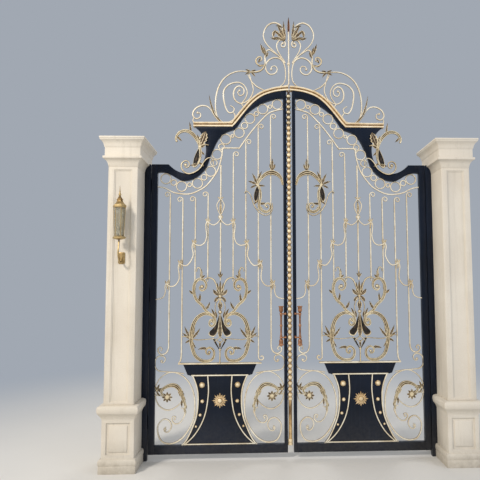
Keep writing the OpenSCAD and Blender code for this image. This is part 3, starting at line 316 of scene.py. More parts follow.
def bevelled(node, mat, width_mm):
    """A copy of a CAD node's mesh with its flat faces joined and its hard edges rounded."""
    bm = bmesh.new()
    bm.from_mesh(NODES[node].data)
    bmesh.ops.remove_doubles(bm, verts=bm.verts, dist=MERGE * MM)
    bmesh.ops.dissolve_limit(bm, angle_limit=math.radians(FLAT_ANGLE), verts=bm.verts, edges=bm.edges)
    hard = math.radians(HARD_ANGLE)
    edges = [e for e in bm.edges if len(e.link_faces) == 2 and e.calc_face_angle(0) > hard]
    bmesh.ops.bevel(bm, geom=edges, offset=width_mm * MM, segments=EASE_STEPS, profile=0.5, affect="EDGES",
                    clamp_overlap=True)
    bmesh.ops.triangulate(bm, faces=[f for f in bm.faces if len(f.verts) > 4])
    me = bpy.data.meshes.new(node)
    bm.to_mesh(me)
    bm.free()
    me.attributes.new("rub_and_shade", "FLOAT", "POINT").data.foreach_set("value", [0.7] * len(me.vertices))
    return add_piece(node + "_piece", me, mat, body_of(node), [node])


# Curves and shells. Ironwork is drawn on a board and carried to its real heights, as in the CAD source.

# Board heights, each with the real height that it stands for
BOARD = ((0, 0), (62, 62), (145, 145), (945, 930), (3085, 2965), (3515, 3365), (3920, 3760), (4780, 4570))
# Leaf, x from its hinge: inner sides of both stiles, the meeting stile's outer side, the gateway's middle
STILE_IN = 64
MEET_IN = 1356
MEET_FACE = 1390
HALF = 1420
MID = (STILE_IN + MEET_IN) / 2


def level(z):
    """The real height of a board height."""
    return float(np.interp(z, *zip(*BOARD)))


def put(pts, x0=0):
    """Board points, x from x0, as points of the leaf."""
    return np.array([(x0 + x, level(z)) for x, z in pts])


def smooth(p, n=6, closed=False):
    """Points of a curve through the given ones."""
    p = np.asarray(p, float)
    m = len(p)
    out = []
    for i in range(m if closed else m - 1):
        a, b, c, d = (p[k % m] if closed else p[min(max(k, 0), m - 1)] for k in range(i - 1, i + 3))
        for k in range(n):
            t = k / n
            out.append(0.5 * (2 * b + (c - a) * t + (2 * a - 5 * b + 4 * c - d) * t * t
                              + (3 * b - a - 3 * c + d) * t ** 3))
    return np.array(out if closed else out + [p[-1]])


def spiral(eye, r0, r1, a0, turn, step=15):
    """Points of a volute that winds from radius r0 to r1 about its eye, a0 and turn in degrees."""
    n = math.ceil(abs(turn) / step)
    out = []
    for k in range(n + 1):
        r = r0 * (r1 / r0) ** (k / n)
        a = math.radians(a0 + turn * k / n)
        out.append((eye[0] + r * math.cos(a), eye[1] + r * math.sin(a)))
    return out


def across(p, closed=False):
    """Unit vectors to the left of a path."""
    d = np.roll(p, -1, 0) - np.roll(p, 1, 0) if closed else np.gradient(p, axis=0)
    length = np.maximum(np.linalg.norm(d, axis=1), 1e-9)
    return np.stack([-d[:, 1], d[:, 0]], 1) / length[:, None]


def skin(rows, rub_and_shade, closed=False):
    """A closed shell through rows of section points; a closed one joins its last row to its first."""
    rows = np.asarray(rows, float)
    n, s = rows.shape[:2]
    v = rows.reshape(-1, 3)
    faces = [(i * s + k, i * s + (k + 1) % s, (i + 1) % n * s + (k + 1) % s, (i + 1) % n * s + k)
             for i in range(n if closed else n - 1) for k in range(s)]
    quads = np.array(faces)
    c = v - v.mean(0)
    a, b, d, e = (c[quads[:, k]] for k in range(4))
    volume = (np.cross(b, d) * a).sum() + (np.cross(d, e) * a).sum()
    if not closed:
        faces += [tuple(range(s))[::-1], tuple(range((n - 1) * s, n * s))]
    if volume < 0:
        faces = [f[::-1] for f in faces]
    return v, faces, np.asarray(rub_and_shade, float).ravel()


def extruded(p, nrm, offsets, depths, rub_and_shade, closed=False):
    """A shell over a path in the leaf's plane: offsets to its left and depths along Y at each station."""
    offsets, depths, rub_and_shade = (np.broadcast_to(np.asarray(q, float), (len(p), np.shape(offsets)[-1]))
                            for q in (offsets, depths, rub_and_shade))
    rows = np.empty(offsets.shape + (3,))
    rows[..., 0] = p[:, None, 0] + nrm[:, None, 0] * offsets
    rows[..., 1] = depths
    rows[..., 2] = p[:, None, 1] + nrm[:, None, 1] * offsets
    return skin(rows, rub_and_shade, closed)


def widths(n, w):
    """The listed half widths, spread over n stations."""
    return np.interp(np.linspace(0, 1, n), np.linspace(0, 1, len(w)), w)


def beyond(a, b, half):
    """The next point after a and b in the rounded end of a bar of that half width."""
    return b + (b - a) / np.linalg.norm(b - a) * half * 0.4


def rod(p, w, y0, y1, closed=False, edge=4.5):
    """A bar bent along a path, from y0 in front to y1, with rounded edges; w lists its half widths."""
    p = np.asarray(p, float)
    if not closed:
        # Both ends are rounded off by two short stations
        for _ in range(2):
            p = np.array([beyond(p[1], p[0], w[0]), *p, beyond(p[-2], p[-1], w[-1])])
    h = widths(len(p), w)
    if not closed:
        h[[0, -1]] *= 0.45
        h[[1, -2]] *= 0.85
    r = np.minimum(edge, np.minimum(0.8 * h, 0.45 * (y1 - y0)))[:, None]
    # Each corner is rounded in two steps
    k = np.array([0, 0.29, 1])
    side = h[:, None] - r * k
    front = y0 + r * (1 - np.array([0, 0.71, 1]))
    rear = y1 - r * (1 - np.array([0, 0.71, 1]))
    off = np.concatenate([-side, side[:, ::-1], side, -side[:, ::-1]], 1)
    dep = np.concatenate([front, front[:, ::-1], rear, rear[:, ::-1]], 1)
    # Rub: bright on the front, painted shade dark down the sides, plain behind
    low, mid, top = 0.12, 0.55, 1.0
    rub_and_shade = [low, mid, top, top, mid, low, low, 0.3, 0.3, 0.3, 0.3, low]
    return extruded(p, across(p, closed), off, dep, rub_and_shade, closed)


def scroll(item, x0, y0, y1):
    """A bar bent along its points and drawn thinner at both ends."""
    pts, width, end = item
    return rod(smooth(put(pts, x0)), [width / 2 * end, width / 2, width / 2 * end], y0, y1)


def band(item, x0, y0, y1):
    """A broad scroll: a rib along each edge, a dark hollow between them and a fine line along its middle."""
    p = smooth(put(item[0], x0), 5)
    h = 1.12 * widths(len(p), item[1])[:, None]
    rib = np.minimum(8.5, h * 0.9)
    line = np.clip((h - 8) / 6, 0, 1)
    half = np.concatenate([h, h, h - 0.15 * rib, h - 0.5 * rib, h - 0.85 * rib, h - rib,
                           np.maximum(0.4 * (h - rib), 0) + 2.2, np.full_like(h, 2.1)], 1)
    hollow = y0 + 6.0
    depths = (y1, y0 + 3, y0 + 0.9, y0, y0 + 1.2, y0 + 4, hollow)
    deep = np.concatenate([*(np.full_like(h, d) for d in depths), hollow - 4 * line], 1)
    half = np.minimum.accumulate(half, axis=1)
    off = np.concatenate([-half, half[:, ::-1]], 1)
    dep = np.concatenate([deep, deep[:, ::-1]], 1)
    rub_and_shade = np.array([0.1, 0.45, 0.95, 1.0, 0.95, 0.35, 0.12, 0.0])
    rub_and_shade = np.concatenate([np.broadcast_to(rub_and_shade[:-1], (len(p), 7)), 0.95 * line], 1)
    return extruded(p, across(p), off, dep, np.concatenate([rub_and_shade, rub_and_shade[:, ::-1]], 1))


# The power that puts a leaf's widest place two fifths along it, where its item doesn't say another
LEAF_PEAK = 0.75


def leaf(item, x0, y0, y1, place=None):
    """A leaf: raised rim, hollow sides with veins, a midrib and lobes that sweep forward."""
    foot, angle, length, half, lobes, bend, peak = (*item, LEAF_PEAK)[:7]
    foot = put([foot], x0)[0] if place is None else place
    n = 8 * lobes if lobes else 14
    t = np.linspace(0, 1, n + 1)
    turn = np.radians(bend) * t
    if abs(bend) < 1:
        axis = np.stack([length * t, 0 * t], 1)
    else:
        r = length / math.radians(bend)
        axis = np.stack([r * np.sin(turn), r * (1 - np.cos(turn))], 1)
    w = half * np.abs(np.sin(np.pi * t ** peak)) ** 0.8
    if lobes:
        w = w * (0.66 + 0.34 * np.abs(np.cos(np.pi * lobes * t)))
    w = np.maximum(w, 0.7)
    # Stations across the front from rim to rim, and how far behind the midrib each lies
    s = np.array([-1, -0.87, -0.68, -0.44, -0.2, 0, 0.2, 0.44, 0.68, 0.87, 1])
    size = min(1.0, half / 13)
    shape = np.array([2.6, 0.6, 3.0, 4.6, 3.6, 0.0, 3.6, 4.6, 3.0, 0.6, 2.6]) * size
    vein = np.cos(2 * np.pi * ((2 * lobes or 5) * t[:, None] - 0.7 * np.abs(s)))
    vein = np.clip(vein, 0, 1) ** 2 * np.sin(np.pi * np.clip(np.abs(s), 0, 1)) * (w[:, None] / half)
    cup = 3.0 * (2 * t[:, None] - 1) ** 2
    front = y0 + cup + shape * (0.35 + 0.65 * w[:, None] / half) - 1.8 * size * vein
    tint = np.array([0.9, 1.0, 0.6, 0.2, 0.22, 0.85, 0.22, 0.2, 0.6, 1.0, 0.9]) + 0.45 * vein
    # Stations across the back
    b = np.array([0.8, 0.3, -0.3, -0.8])
    rear = np.minimum(y1, front.max(1)[:, None] + 3 + (y1 - y0) * 0.6 * (1 - np.abs(b)))
    off = np.concatenate([s, b]) * w[:, None]
    dep = np.concatenate([front, rear], 1)
    rub_and_shade = np.concatenate([tint, np.full_like(rear, 0.2)], 1)
    a = math.radians(angle)
    ahead = np.stack([np.cos(turn), np.sin(turn)], 1)
    left = np.stack([-ahead[:, 1], ahead[:, 0]], 1)
    sweep = 0.3 * np.abs(np.concatenate([s, b])) * w[:, None] * np.sin(np.pi * t)[:, None]
    q = axis[:, None] + left[:, None] * off[..., None] + ahead[:, None] * sweep[..., None]
    x = foot[0] + q[..., 0] * math.cos(a) - q[..., 1] * math.sin(a)
    z = foot[1] + q[..., 0] * math.sin(a) + q[..., 1] * math.cos(a)
    return skin(np.stack([x, dep, z], 2), rub_and_shade)


def turned(c, profile, seg=20, rub_and_shade=None):
    """A shape turned about a line along Y through c = (x, z); its profile lists (radius, y) from the back."""
    a = np.linspace(0, 2 * np.pi, seg, endpoint=False)
    rows = [[(c[0] + r * math.cos(t), y, c[1] + r * math.sin(t)) for t in a] for r, y in profile]
    if rub_and_shade is None:
        rub_and_shade = np.linspace(0.2, 1, len(profile))
    return skin(rows, np.repeat(np.asarray(rub_and_shade, float), seg))


def berry(item, x0, y0, y1):
    """A domed knot with a collar round it."""
    c, r = item
    c = put([c], x0)[0]
    k = min(1.0, r / 14)
    shape = [(0.85, y1), (1, y0 + 9), (1, y0 + 6.5), (0.93, y0 + 5.4), (0.8, y0 + 6.2), (0.76, y0 + 4.4 * k),
             (0.62, y0 + 2.2 * k), (0.38, y0 + 0.6 * k), (0.06, y0)]
    return turned(c, [(q * r, y) for q, y in shape], 18, [0.1, 0.3, 0.7, 0.9, 0.05, 0.4, 0.8, 1, 1])


def petal(pts, x0, y0, y1):
    """A broad petal with a raised pale rim round a dark hollow."""
    edge = smooth(put(pts, x0), 5, closed=True)
    c = edge.mean(0)
    shape = [(1, y1), (1, y0 + 3), (0.985, y0 + 0.8), (0.95, y0), (0.9, y0 + 0.9), (0.85, y0 + 3.6),
             (0.6, y0 + 5.4), (0.3, y0 + 4.6), (0.05, y0 + 3.8)]
    rows = [[(x, y, z) for x, z in c + (edge - c) * k] for k, y in shape]
    return skin(rows, np.repeat([0.1, 0.5, 0.95, 1, 0.9, 0.15, 0, 0.1, 0.3], len(edge)))


def lathe(x, y, profile, seg=24, flutes=0, rub_and_shade=None):
    """A shape turned about an upright line; flutes wave its widest places. The profile lists (radius, z)."""
    a = np.linspace(0, 2 * np.pi, seg, endpoint=False)
    top = max(r for r, _ in profile)
    rows = []
    for r, z in profile:
        wave = 1 - 0.09 * (r / top) ** 2 * (1 - np.cos(flutes * a)) if flutes else np.ones(seg)
        round_x, round_y = x + r * wave * np.cos(a), y + r * wave * np.sin(a)
        rows.append(np.stack([round_x, round_y, np.full(seg, float(z))], 1))
    if rub_and_shade is None:
        rr = np.array([r for r, _ in profile])
        rub_and_shade = 0.25 + 0.7 * rr / top
    return skin(rows, np.repeat(np.asarray(rub_and_shade, float), seg))


def both(shells):
    """The shells and their mirror images at the leaf's middle line."""
    out = list(shells)
    for v, f, r in shells:
        m = v.copy()
        m[:, 0] = 2 * MID - m[:, 0]
        out.append((m, [q[::-1] for q in f], r))
    return out


def ornament(x0, y0, y1, scrolls=(), leaves=(), berries=(), petals=(), bands=()):
    """Every listed part of an ornament, each a hair deeper than the last, so that no faces coincide."""
    out, k = [], 0
    for make, items in ((scroll, scrolls), (band, bands), (petal, petals), (leaf, leaves), (berry, berries)):
        for item in items:
            out.append(make(item, x0, y0 + 0.07 * (k % 9), y1))
            k += 1
    return out


# Points of the ornaments as drawn: x from the leaf's middle, the gateway's or the hinge, z on the board.
# A scroll is (points, width, share at its ends), a leaf (foot, angle, length, half width, lobes, bend) and
# where its widest place isn't usual that too, a berry (centre, radius), a petal its outline, and a band
# (points, half widths at its start, middle and end).
SWAG = (
    (0, 2525), (-6, 2480), (-40, 2440), (-75, 2425), (-115, 2445), (-135, 2460), (-150, 2425), (-145, 2360),
    (-140, 2305), (-160, 2235), (-205, 2205), (-255, 2215), (-275, 2230), (-287, 2185), (-275, 2105),
    (-300, 2035), (-340, 1990), (-385, 1995), (-412, 2012), (-425, 1970), (-415, 1890), (-420, 1830),
    (-460, 1775), (-510, 1770), (-540, 1795), (-556, 1765), (-552, 1715), (-566, 1665), (-600, 1640),
    (-650, 1632))
PLUME = ((0, 2530), (28, 2590), (36, 2650), (0, 2712))
SWAG_KNOTS = ((-135, 2458), (-273, 2230), (-412, 2012), (-540, 1793))
CARTOUCHE_BANDS = (
    (((-77, 1380), (-66, 1401), (-84, 1417), (-103, 1401), (-106, 1362), (-78, 1346), (-52, 1376),
      (-56, 1428), (-85, 1464), (-150, 1479), (-213, 1450), (-257, 1393), (-281, 1309), (-290, 1226),
      (-281, 1142), (-252, 1048), (-199, 996), (-147, 981), (-90, 991), (-60, 1036), (-65, 1093),
      (-103, 1122), (-138, 1099), (-132, 1058), (-102, 1050)), (5, 18, 6)),
    (((-70, 1450), (-102, 1475), (-141, 1507), (-181, 1565), (-232, 1615), (-260, 1677), (-267, 1746),
      (-252, 1809), (-214, 1844), (-167, 1834), (-143, 1793), (-150, 1745), (-184, 1722), (-208, 1745),
      (-200, 1772)), (11, 14, 6)))
CARTOUCHE_SCROLLS = (
    (((-162, 1836), (-140, 1853), (-104, 1858), (-66, 1836), (-43, 1792), (-31, 1750), (-12, 1712)),
     16, 0.6),
    (((-240, 1925), (-234, 1958), (-212, 1966), (-198, 1935), (-192, 1890), (-205, 1835)), 14, 0.6),
    (((-381, 1239), (-331, 1238), (-283, 1219), (-231, 1204), (-161, 1206), (-62, 1216)), 10, 0.8),
    (((-46, 1500), (-52, 1540), (-44, 1588), (-24, 1620), (2, 1632)), 10, 0.8),
    (((-52, 1186), (-34, 1204), (2, 1234)), 9, 1), (((2, 1168), (-20, 1186), (-44, 1210)), 9, 1))
CARTOUCHE_PETALS = (
    ((-6, 1476), (-21, 1417), (-45, 1357), (-82, 1314), (-108, 1287), (-115, 1264), (-99, 1241),
     (-63, 1233), (-37, 1262), (-19, 1317), (-10, 1380), (-4, 1437)),
    ((0, 1088), (-30, 1131), (-58, 1180), (-74, 1222), (-52, 1212), (-36, 1172), (-12, 1122)))
CARTOUCHE_LEAVES = (
    ((-200, 1850), 75, 95, 15, 3, 20), ((-196, 1850), 40, 52, 12, 0, 0),
    ((-262, 1690), 165, 62, 13, 0, -40), ((-222, 1590), 62, 100, 16, 3, 35),
    ((-150, 1520), 40, 92, 15, 3, 40), ((-56, 1430), 92, 104, 12, 0, 34), ((-36, 1430), 88, 78, 10, 0, 28),
    ((-286, 1215), 40, 136, 15, 4, 22), ((-286, 1215), 72, 138, 15, 4, 10),
    ((-290, 1220), 98, 92, 13, 3, 0), ((-292, 1215), 124, 140, 15, 4, -14),
    ((-292, 1212), 148, 104, 14, 3, -10), ((-292, 1206), 206, 66, 13, 3, 10),
    ((-284, 1200), -72, 92, 12, 3, 24), ((-122, 1108), 160, 100, 16, 3, 46),
    ((-4, 1652), 108, 150, 14, 0, -16, 0.9), ((-6, 1670), 160, 92, 18, 0, -48, 0.9),
    ((-4, 1660), 208, 80, 15, 0, 40, 1.1))
CARTOUCHE_BERRIES = (((-84, 1396), 11), ((-106, 1072), 15), ((-184, 1764), 20))
MIDDLE_LEAVES = (
    ((0, 1862), 58, 48, 9, 0, 0), ((0, 1862), 90, 60, 9, 0, 0), ((0, 1862), 122, 48, 9, 0, 0),
    ((0, 1640), 90, 178, 15, 0, 0, 0.9), ((0, 1510), 90, 98, 24, 0, 0, 1),
    ((0, 1484), -90, 250, 24, 0, 0, 2.2), ((0, 1118), 90, 70, 12, 0, 0, 0.9))
MIDDLE_BERRIES = (((0, 1660), 20), ((0, 1494), 20), ((0, 1098), 13))
ACANTHUS_BANDS = (
    (((1350, 2862), (1344, 2895), (1332, 2940), (1304, 2974), (1268, 2994), (1228, 3001), (1182, 2987),
      (1139, 2950), (1107, 2908), (1088, 2868)), (7, 22, 10)),
    (((1090, 2866), (1117, 2800), (1120, 2730), (1110, 2675), (1106, 2628), (1134, 2585), (1181, 2568),
      (1217, 2592), (1224, 2632), (1203, 2660), (1174, 2654), (1166, 2626)), (9, 14, 6)))
ACANTHUS_SCROLLS = (
    (((955, 2776), (968, 2792), (987, 2789), (1015, 2756), (1035, 2697), (1055, 2638), (1094, 2579),
      (1142, 2540), (1184, 2532), (1224, 2558), (1244, 2602), (1240, 2660)), 13, 0.6),)
ACANTHUS_PETALS = (
    ((1090, 2862), (1066, 2815), (1051, 2747), (1054, 2692), (1078, 2676), (1098, 2735), (1108, 2800),
     (1106, 2844)),)
ACANTHUS_LEAVES = (
    ((1088, 2872), 80, 142, 17, 3, -16), ((1082, 2872), 106, 122, 16, 3, 14),
    ((1076, 2868), 146, 92, 15, 3, 24), ((1074, 2858), 196, 66, 13, 3, 20),
    ((1084, 2850), 12, 84, 13, 3, -24), ((1112, 2700), -152, 80, 13, 3, 20),
    ((1112, 2660), -14, 62, 13, 0, 40), ((1140, 2590), 120, 54, 12, 0, 30),
    ((1243, 3012), 90, 138, 15, 3, 0), ((1243, 3030), 50, 70, 12, 0, 34),
    ((1243, 3030), 130, 70, 12, 0, -34))
ACANTHUS_BERRIES = (((1184, 2624), 14), ((1086, 2866), 18))
SHOULDER_BANDS = (
    (((478, 3090), (498, 3150), (502, 3220), (494, 3284), (475, 3340), (439, 3402), (392, 3447),
      (340, 3462), (291, 3446), (260, 3410), (248, 3370), (256, 3338)), (7, 17, 6)),)
SHOULDER_SCROLLS = (
    (((636, 3082), (630, 3132), (604, 3158), (570, 3148), (536, 3108), (502, 3047), (451, 3003),
      (387, 2981), (336, 3001), (308, 3047), (314, 3097), (348, 3123), (382, 3107), (387, 3067),
      (361, 3047), (344, 3063)), 15, 0.7),
    (((494, 3284), (522, 3300), (552, 3306), (584, 3300)), 12, 0.5))
SHOULDER_PETALS = (
    ((490, 3276), (462, 3225), (437, 3159), (425, 3093), (430, 3050), (462, 3062), (489, 3108), (499, 3187)),)
SHOULDER_LEAVES = (
    ((496, 3290), 62, 165, 42, 5, 16, 0.9), ((488, 3284), 92, 128, 20, 4, 14),
    ((494, 3270), 26, 86, 15, 3, 16), ((496, 3230), -30, 62, 13, 3, -20), ((404, 3436), 98, 122, 12, 3, 0),
    ((484, 3092), 204, 92, 16, 3, -24), ((488, 3104), -38, 66, 12, 0, 0), ((262, 3400), -58, 70, 13, 3, 24))
SHOULDER_BERRIES = (((494, 3284), 18), ((350, 3078), 18), ((256, 3346), 12))
LOWER_LINES = (
    (((55, 700), (105, 800), (185, 860), (262, 866), (350, 822), (415, 742), (452, 640), (462, 540),
      (456, 420), (412, 312), (348, 222), (275, 172), (205, 160), (138, 185), (100, 262), (100, 345),
      (150, 400), (205, 390), (232, 335), (208, 282), (172, 276), (158, 305), (175, 322)), 16, 0.6),
    (((126, 968), (148, 970), (164, 1000), (150, 1030), (112, 1038), (76, 1017), (60, 975), (64, 925),
      (94, 888), (158, 876), (268, 868), (348, 854)), 14, 0.6),
    (((52, 690), (68, 655), (76, 597), (105, 540), (155, 502), (204, 492), (253, 508), (302, 544),
      (336, 592), (352, 650)), 13, 0.6),
    (((365, 480), (350, 412), (312, 364), (265, 356), (236, 390), (245, 426), (272, 424), (266, 400)),
     13, 0.6),
    (((330, 510), (352, 500), (372, 470), (350, 410)), 13, 0.6),
    (((50, 640), (110, 640), (172, 622)), 15, 0.6))
LOWER_KNOTS = (((126, 982), 14), ((170, 300), 13), ((262, 402), 10))
LOWER_BANDS = (
    (((150, 640), (128, 668), (140, 700), (172, 722), (203, 736), (238, 741), (276, 730), (308, 697),
      (329, 651), (345, 606), (361, 558), (367, 520), (360, 474)), (8, 19, 7)),)
LOWER_LEAVES = (
    ((300, 706), -32, 74, 15, 3, -30), ((334, 640), -46, 74, 14, 3, -36), ((300, 700), -80, 84, 13, 3, 20),
    ((338, 600), -104, 78, 12, 3, 24), ((352, 560), -40, 60, 12, 0, -40), ((84, 694), 66, 64, 13, 3, 0),
    ((84, 694), 112, 44, 11, 3, 0), ((86, 690), -6, 72, 13, 3, 12), ((82, 684), -66, 60, 12, 3, 30),
    ((84, 690), 30, 60, 11, 0, -20))
LOWER_BERRIES = (((84, 690), 15), ((188, 622), 34))
CREST_LINES = (
    (((-38, 4240), (-105, 4322), (-165, 4385), (-225, 4447), (-260, 4515), (-265, 4590), (-232, 4665),
      (-190, 4700), (-143, 4710), (-86, 4680), (-56, 4610), (-78, 4545), (-120, 4518), (-160, 4540),
      (-170, 4588), (-146, 4618), (-122, 4600)), 16, 0.6),
    (((-38, 4250), (-90, 4335), (-120, 4400), (-125, 4460), (-96, 4505), (-57, 4507), (-34, 4470),
      (-42, 4434), (-70, 4430), (-78, 4458), (-62, 4470)), 16, 0.6),
    (((-98, 3965), (-50, 4015), (-34, 4080), (-36, 4165), (-54, 4245), (-92, 4290), (-150, 4303),
      (-208, 4275), (-243, 4220), (-238, 4155), (-200, 4112), (-148, 4120), (-122, 4163), (-140, 4203),
      (-178, 4198), (-186, 4168)), 16, 0.6),
    (((-690, 3545), (-735, 3600), (-762, 3675), (-770, 3775), (-755, 3900), (-710, 4015), (-645, 4090),
      (-565, 4133), (-490, 4143), (-400, 4132)), 16, 0.6),
    (((-682, 3560), (-750, 3625), (-790, 3705), (-812, 3765)), 13, 0.3),
    (((-420, 4120), (-390, 4010), (-376, 3915), (-418, 3822), (-500, 3777), (-565, 3815), (-582, 3885),
      (-560, 3950), (-515, 3970), (-474, 3932), (-480, 3878), (-518, 3865), (-538, 3898), (-520, 3918)),
     16, 0.6),
    (((-612, 3750), (-590, 3738), (-574, 3715), (-588, 3682), (-630, 3677), (-665, 3735), (-686, 3845),
      (-680, 3925), (-625, 3990), (-540, 4014), (-476, 3985), (-440, 3915), (-450, 3845), (-495, 3780)),
     16, 0.6),
    (((-590, 3682), (-566, 3650), (-574, 3604), (-615, 3578), (-665, 3550)), 14, 0.6),
    (((-500, 3778), (-470, 3740), (-420, 3745)), 14, 0.6),
    (((-700, 3545), (-775, 3633), (-815, 3702), (-858, 3742), (-920, 3748), (-982, 3712), (-1006, 3650),
      (-975, 3608), (-930, 3622), (-925, 3662), (-955, 3672)), 16, 0.6),
    (((-990, 3625), (-1002, 3585), (-985, 3555)), 12, 0.6),
    (((-430, 4100), (-395, 4030), (-345, 3972), (-290, 3940), (-240, 3915)), 14, 0.6),
    (((-425, 4128), (-330, 4135), (-275, 4170), (-250, 4235), (-250, 4305), (-235, 4376), (-200, 4392),
      (-145, 4355), (-62, 4292)), 16, 0.6))
CREST_CURLS = (
    (((-425, 4128), (-330, 4135), (-275, 4168), (-250, 4230)), 20, 0.4),
    (((-248, 4218), (-276, 4203), (-306, 4206), (-338, 4230), (-345, 4270), (-322, 4302), (-290, 4300),
      (-286, 4268), (-308, 4256)), 20, 0.4))
CREST_LEAVES = (
    ((-252, 4330), 118, 132, 16, 4, -16), ((-250, 4330), 92, 92, 13, 3, 20),
    ((-246, 4300), 52, 70, 13, 3, 30), ((-262, 4215), -150, 70, 13, 3, -40),
    ((-320, 4240), 60, 50, 12, 0, 20), ((-400, 4132), 155, 62, 12, 3, 0),
    ((-400, 4132), -155, 66, 12, 3, 0), ((-400, 4132), 28, 56, 11, 0, -20),
    ((-400, 4132), -40, 70, 12, 3, -20), ((-34, 4510), 99, 205, 15, 4, -6),
    ((-36, 4506), 114, 182, 20, 4, 8), ((-40, 4502), 132, 156, 20, 4, 12),
    ((-42, 4496), 154, 120, 18, 3, 16), ((-120, 4520), 200, 74, 14, 3, -60),
    ((-158, 4542), 96, 78, 13, 3, -50), ((-66, 4650), 150, 74, 13, 3, 30),
    ((-776, 3640), 112, 230, 9, 0, -14), ((-720, 3580), 128, 92, 10, 3, 10))
VASE = ((377, 145), (330, 208), (282, 308), (242, 420), (226, 535), (226, 650), (243, 738), (278, 828))

# Depths, y from front to back. Iron is a hair thinner where bars cross, so that no faces coincide
IRON = (-8, 8)
IRON_SECOND = (-7.9, 7.9)
IRON_THIRD = (-7.8, 7.8)
# Leafy layers in front of the iron
LAYER = (-24.3, -8.3)
SHOULDER_LAYER = (-41.3, -25.3)
LOWER_LAYER = (-16.3, -0.3)
CREST_LAYER = (-17.6, -6)
# Balls in the crest's eyes, uprights of the cartouche, rod of the garland, gilt lines and studs on the plate
CREST_EYE = (-13, 8)
STEM = (-24, -9)
GARLAND_FRONT = -24.3
GARLAND_BACK = -12
TRIM_FRONT = -14
TRIM_BACK = -6.1
STUD_BACK = -6.05

# Frieze. The lap is how far a small ring runs into the big ones
BIG_RING_RADIUS = 58
RING_BAR_WIDTH = 12
RING_LAP = 1.5
FRIEZE_BAR_WIDTH = 14
RINGS = (
    (145, 2932), (308, 2848), (470, 2882), (604, 3014), (671, 3205), (759, 3378), (898, 3452), (1010, 3612),
    (1145, 3716), (1296, 3770))
FRIEZE_BARS = (
    ((60, 2845), (140, 2828), (240, 2778), (385, 2765), (505, 2815), (580, 2878), (672, 3016), (716, 3170),
     (726, 3278)),
    ((719, 3278), (900, 3278)),
    ((898, 3272), (985, 3408), (1080, 3538), (1198, 3665), (1280, 3702), (1362, 3720)))

# Upright bars, with the board heights of their tops and feet, and what three kinds of feet end in
BAR_WIDTH = 15
BAR_PITCH = 129
CROOK_TOP = (2790, 2735, 2740, 2792, 3080, 3240, 3380, 3555, 3665)
BAR_FOOT = (1200, 1100, 1735, 1825, 1835, 1825, 1735, 1040, 1200)
BAR_SCROLL = (
    (-516, 1205), (-517, 1120), (-538, 1070), (-580, 1052), (-614, 1074), (-621, 1110), (-598, 1128),
    (-580, 1108), (-594, 1090))
HOOK = ((387, 1110), (387, 1045), (419, 1012))
LEDGE_BRACE = ((-387, 1110), (-388, 1040), (-395, 990), (-411, 963))
# Crooks: the eye is a share of the radius, the turn in degrees, and the bar grows thinner over the taper
CROOK_RADIUS = 31
CROOK_EYE = 0.42
CROOK_TURN = 390
CROOK_TAPER = 260

# The four leaves round each knot of the garland: shift from the knot, then as in the lists above
KNOT_LEAVES = (
    ((4, -4), 75, 50, 9, 0, 0), ((0, -2), 112, 44, 8, 0, 0), ((4, 6), -85, 70, 10, 0, 0),
    ((0, 0), 20, 44, 8, 0, 30))

# Arch of the cornice, and its section as (rise, depth, rub): a bead, a hollow and a deeper bead with a
# fillet; the hollow's low rub is painted shade
ARCH = (
    (830, 3515), (880, 3572), (955, 3672), (1045, 3778), (1140, 3852), (1250, 3895), (1340, 3912),
    (1420, 3920))
CORNICE = (
    (0.3, 20, 0.3), (0.3, 30, 0.5), (2, 33, 0.8), (6, 34, 1), (11, 34, 1), (15, 33, 0.9), (17.4, 30, 0.4),
    (18, 24, 0.2), (20, 22.4, 0.3), (23, 22, 0.35), (26, 22.6, 0.3), (28, 25, 0.2), (28.4, 38, 0.25),
    (29.4, 43.6, 0.7), (31.5, 45.6, 1), (34, 46, 1), (36, 44.8, 0.4), (37, 44.6, 0.3), (38.4, 46, 1),
    (41, 46, 1), (43.6, 44.6, 0.9), (45, 41, 0.6), (45, 20, 0.5))

# CAD pieces that only need their edges eased: finish and width of the bevel
EASED = (
    ("hinge_stile", "navy", 2), ("meeting_stile", "navy", 2), ("bottom_rail", "navy", 2),
    ("head", "navy", 2), ("panel", "navy", 1.5), ("jamb", "navy", 2), ("pier_base", "stone", 2.5),
    ("pier_shaft", "stone", 3), ("pier_cap", "stone", 2.5))

# Plate and ledge: the ledge's top, the inner gilt line, the studs (x, z, radius) and the sunburst
LEDGE_TOP = 948
VASE_INNER = (
    (340, 155), (268, 222), (212, 297), (165, 390), (136, 485), (119, 600), (113, 700), (121, 826))
STUDS = ((178, 738, 27), (174, 576, 18), (195, 440, 15), (236, 326, 11))
ROSETTE = (0, 582)
RAYS = 16
LONG_RAY = 52
SHORT_RAY = 40

# Turned profiles: a handle's tulip as (radius, height) in cup radii, half a bead as (radius, height, rub)
# from its middle outwards with the beads' distance, and a rivet head along Y
TULIP = (
    (0.38, 0), (0.42, 0.12), (0.6, 0.4), (0.78, 0.8), (0.82, 1.1), (0.74, 1.5), (0.74, 1.75), (0.84, 2.1),
    (1.0, 2.5), (0.93, 2.52), (0.74, 2.3), (0.5, 1.8), (0.2, 1.55))
HALF_BEAD = (
    (25, 4, 1), (23, 12, 0.8), (19.5, 17.5, 0.3), (17, 18.6, 0.1), (18.5, 21, 0.8), (17, 24, 0.5),
    (13.9, 25.5, 0.1), (13.8, 28, 0))
BEAD_PITCH = 57
RIVET = turned((0, 0), [(6.5, -0.5), (6.5, 0.8), (5.6, 2.2), (3.6, 3.2), (0.4, 3.6)], 14,
               [0.2, 0.5, 0.9, 1, 1])

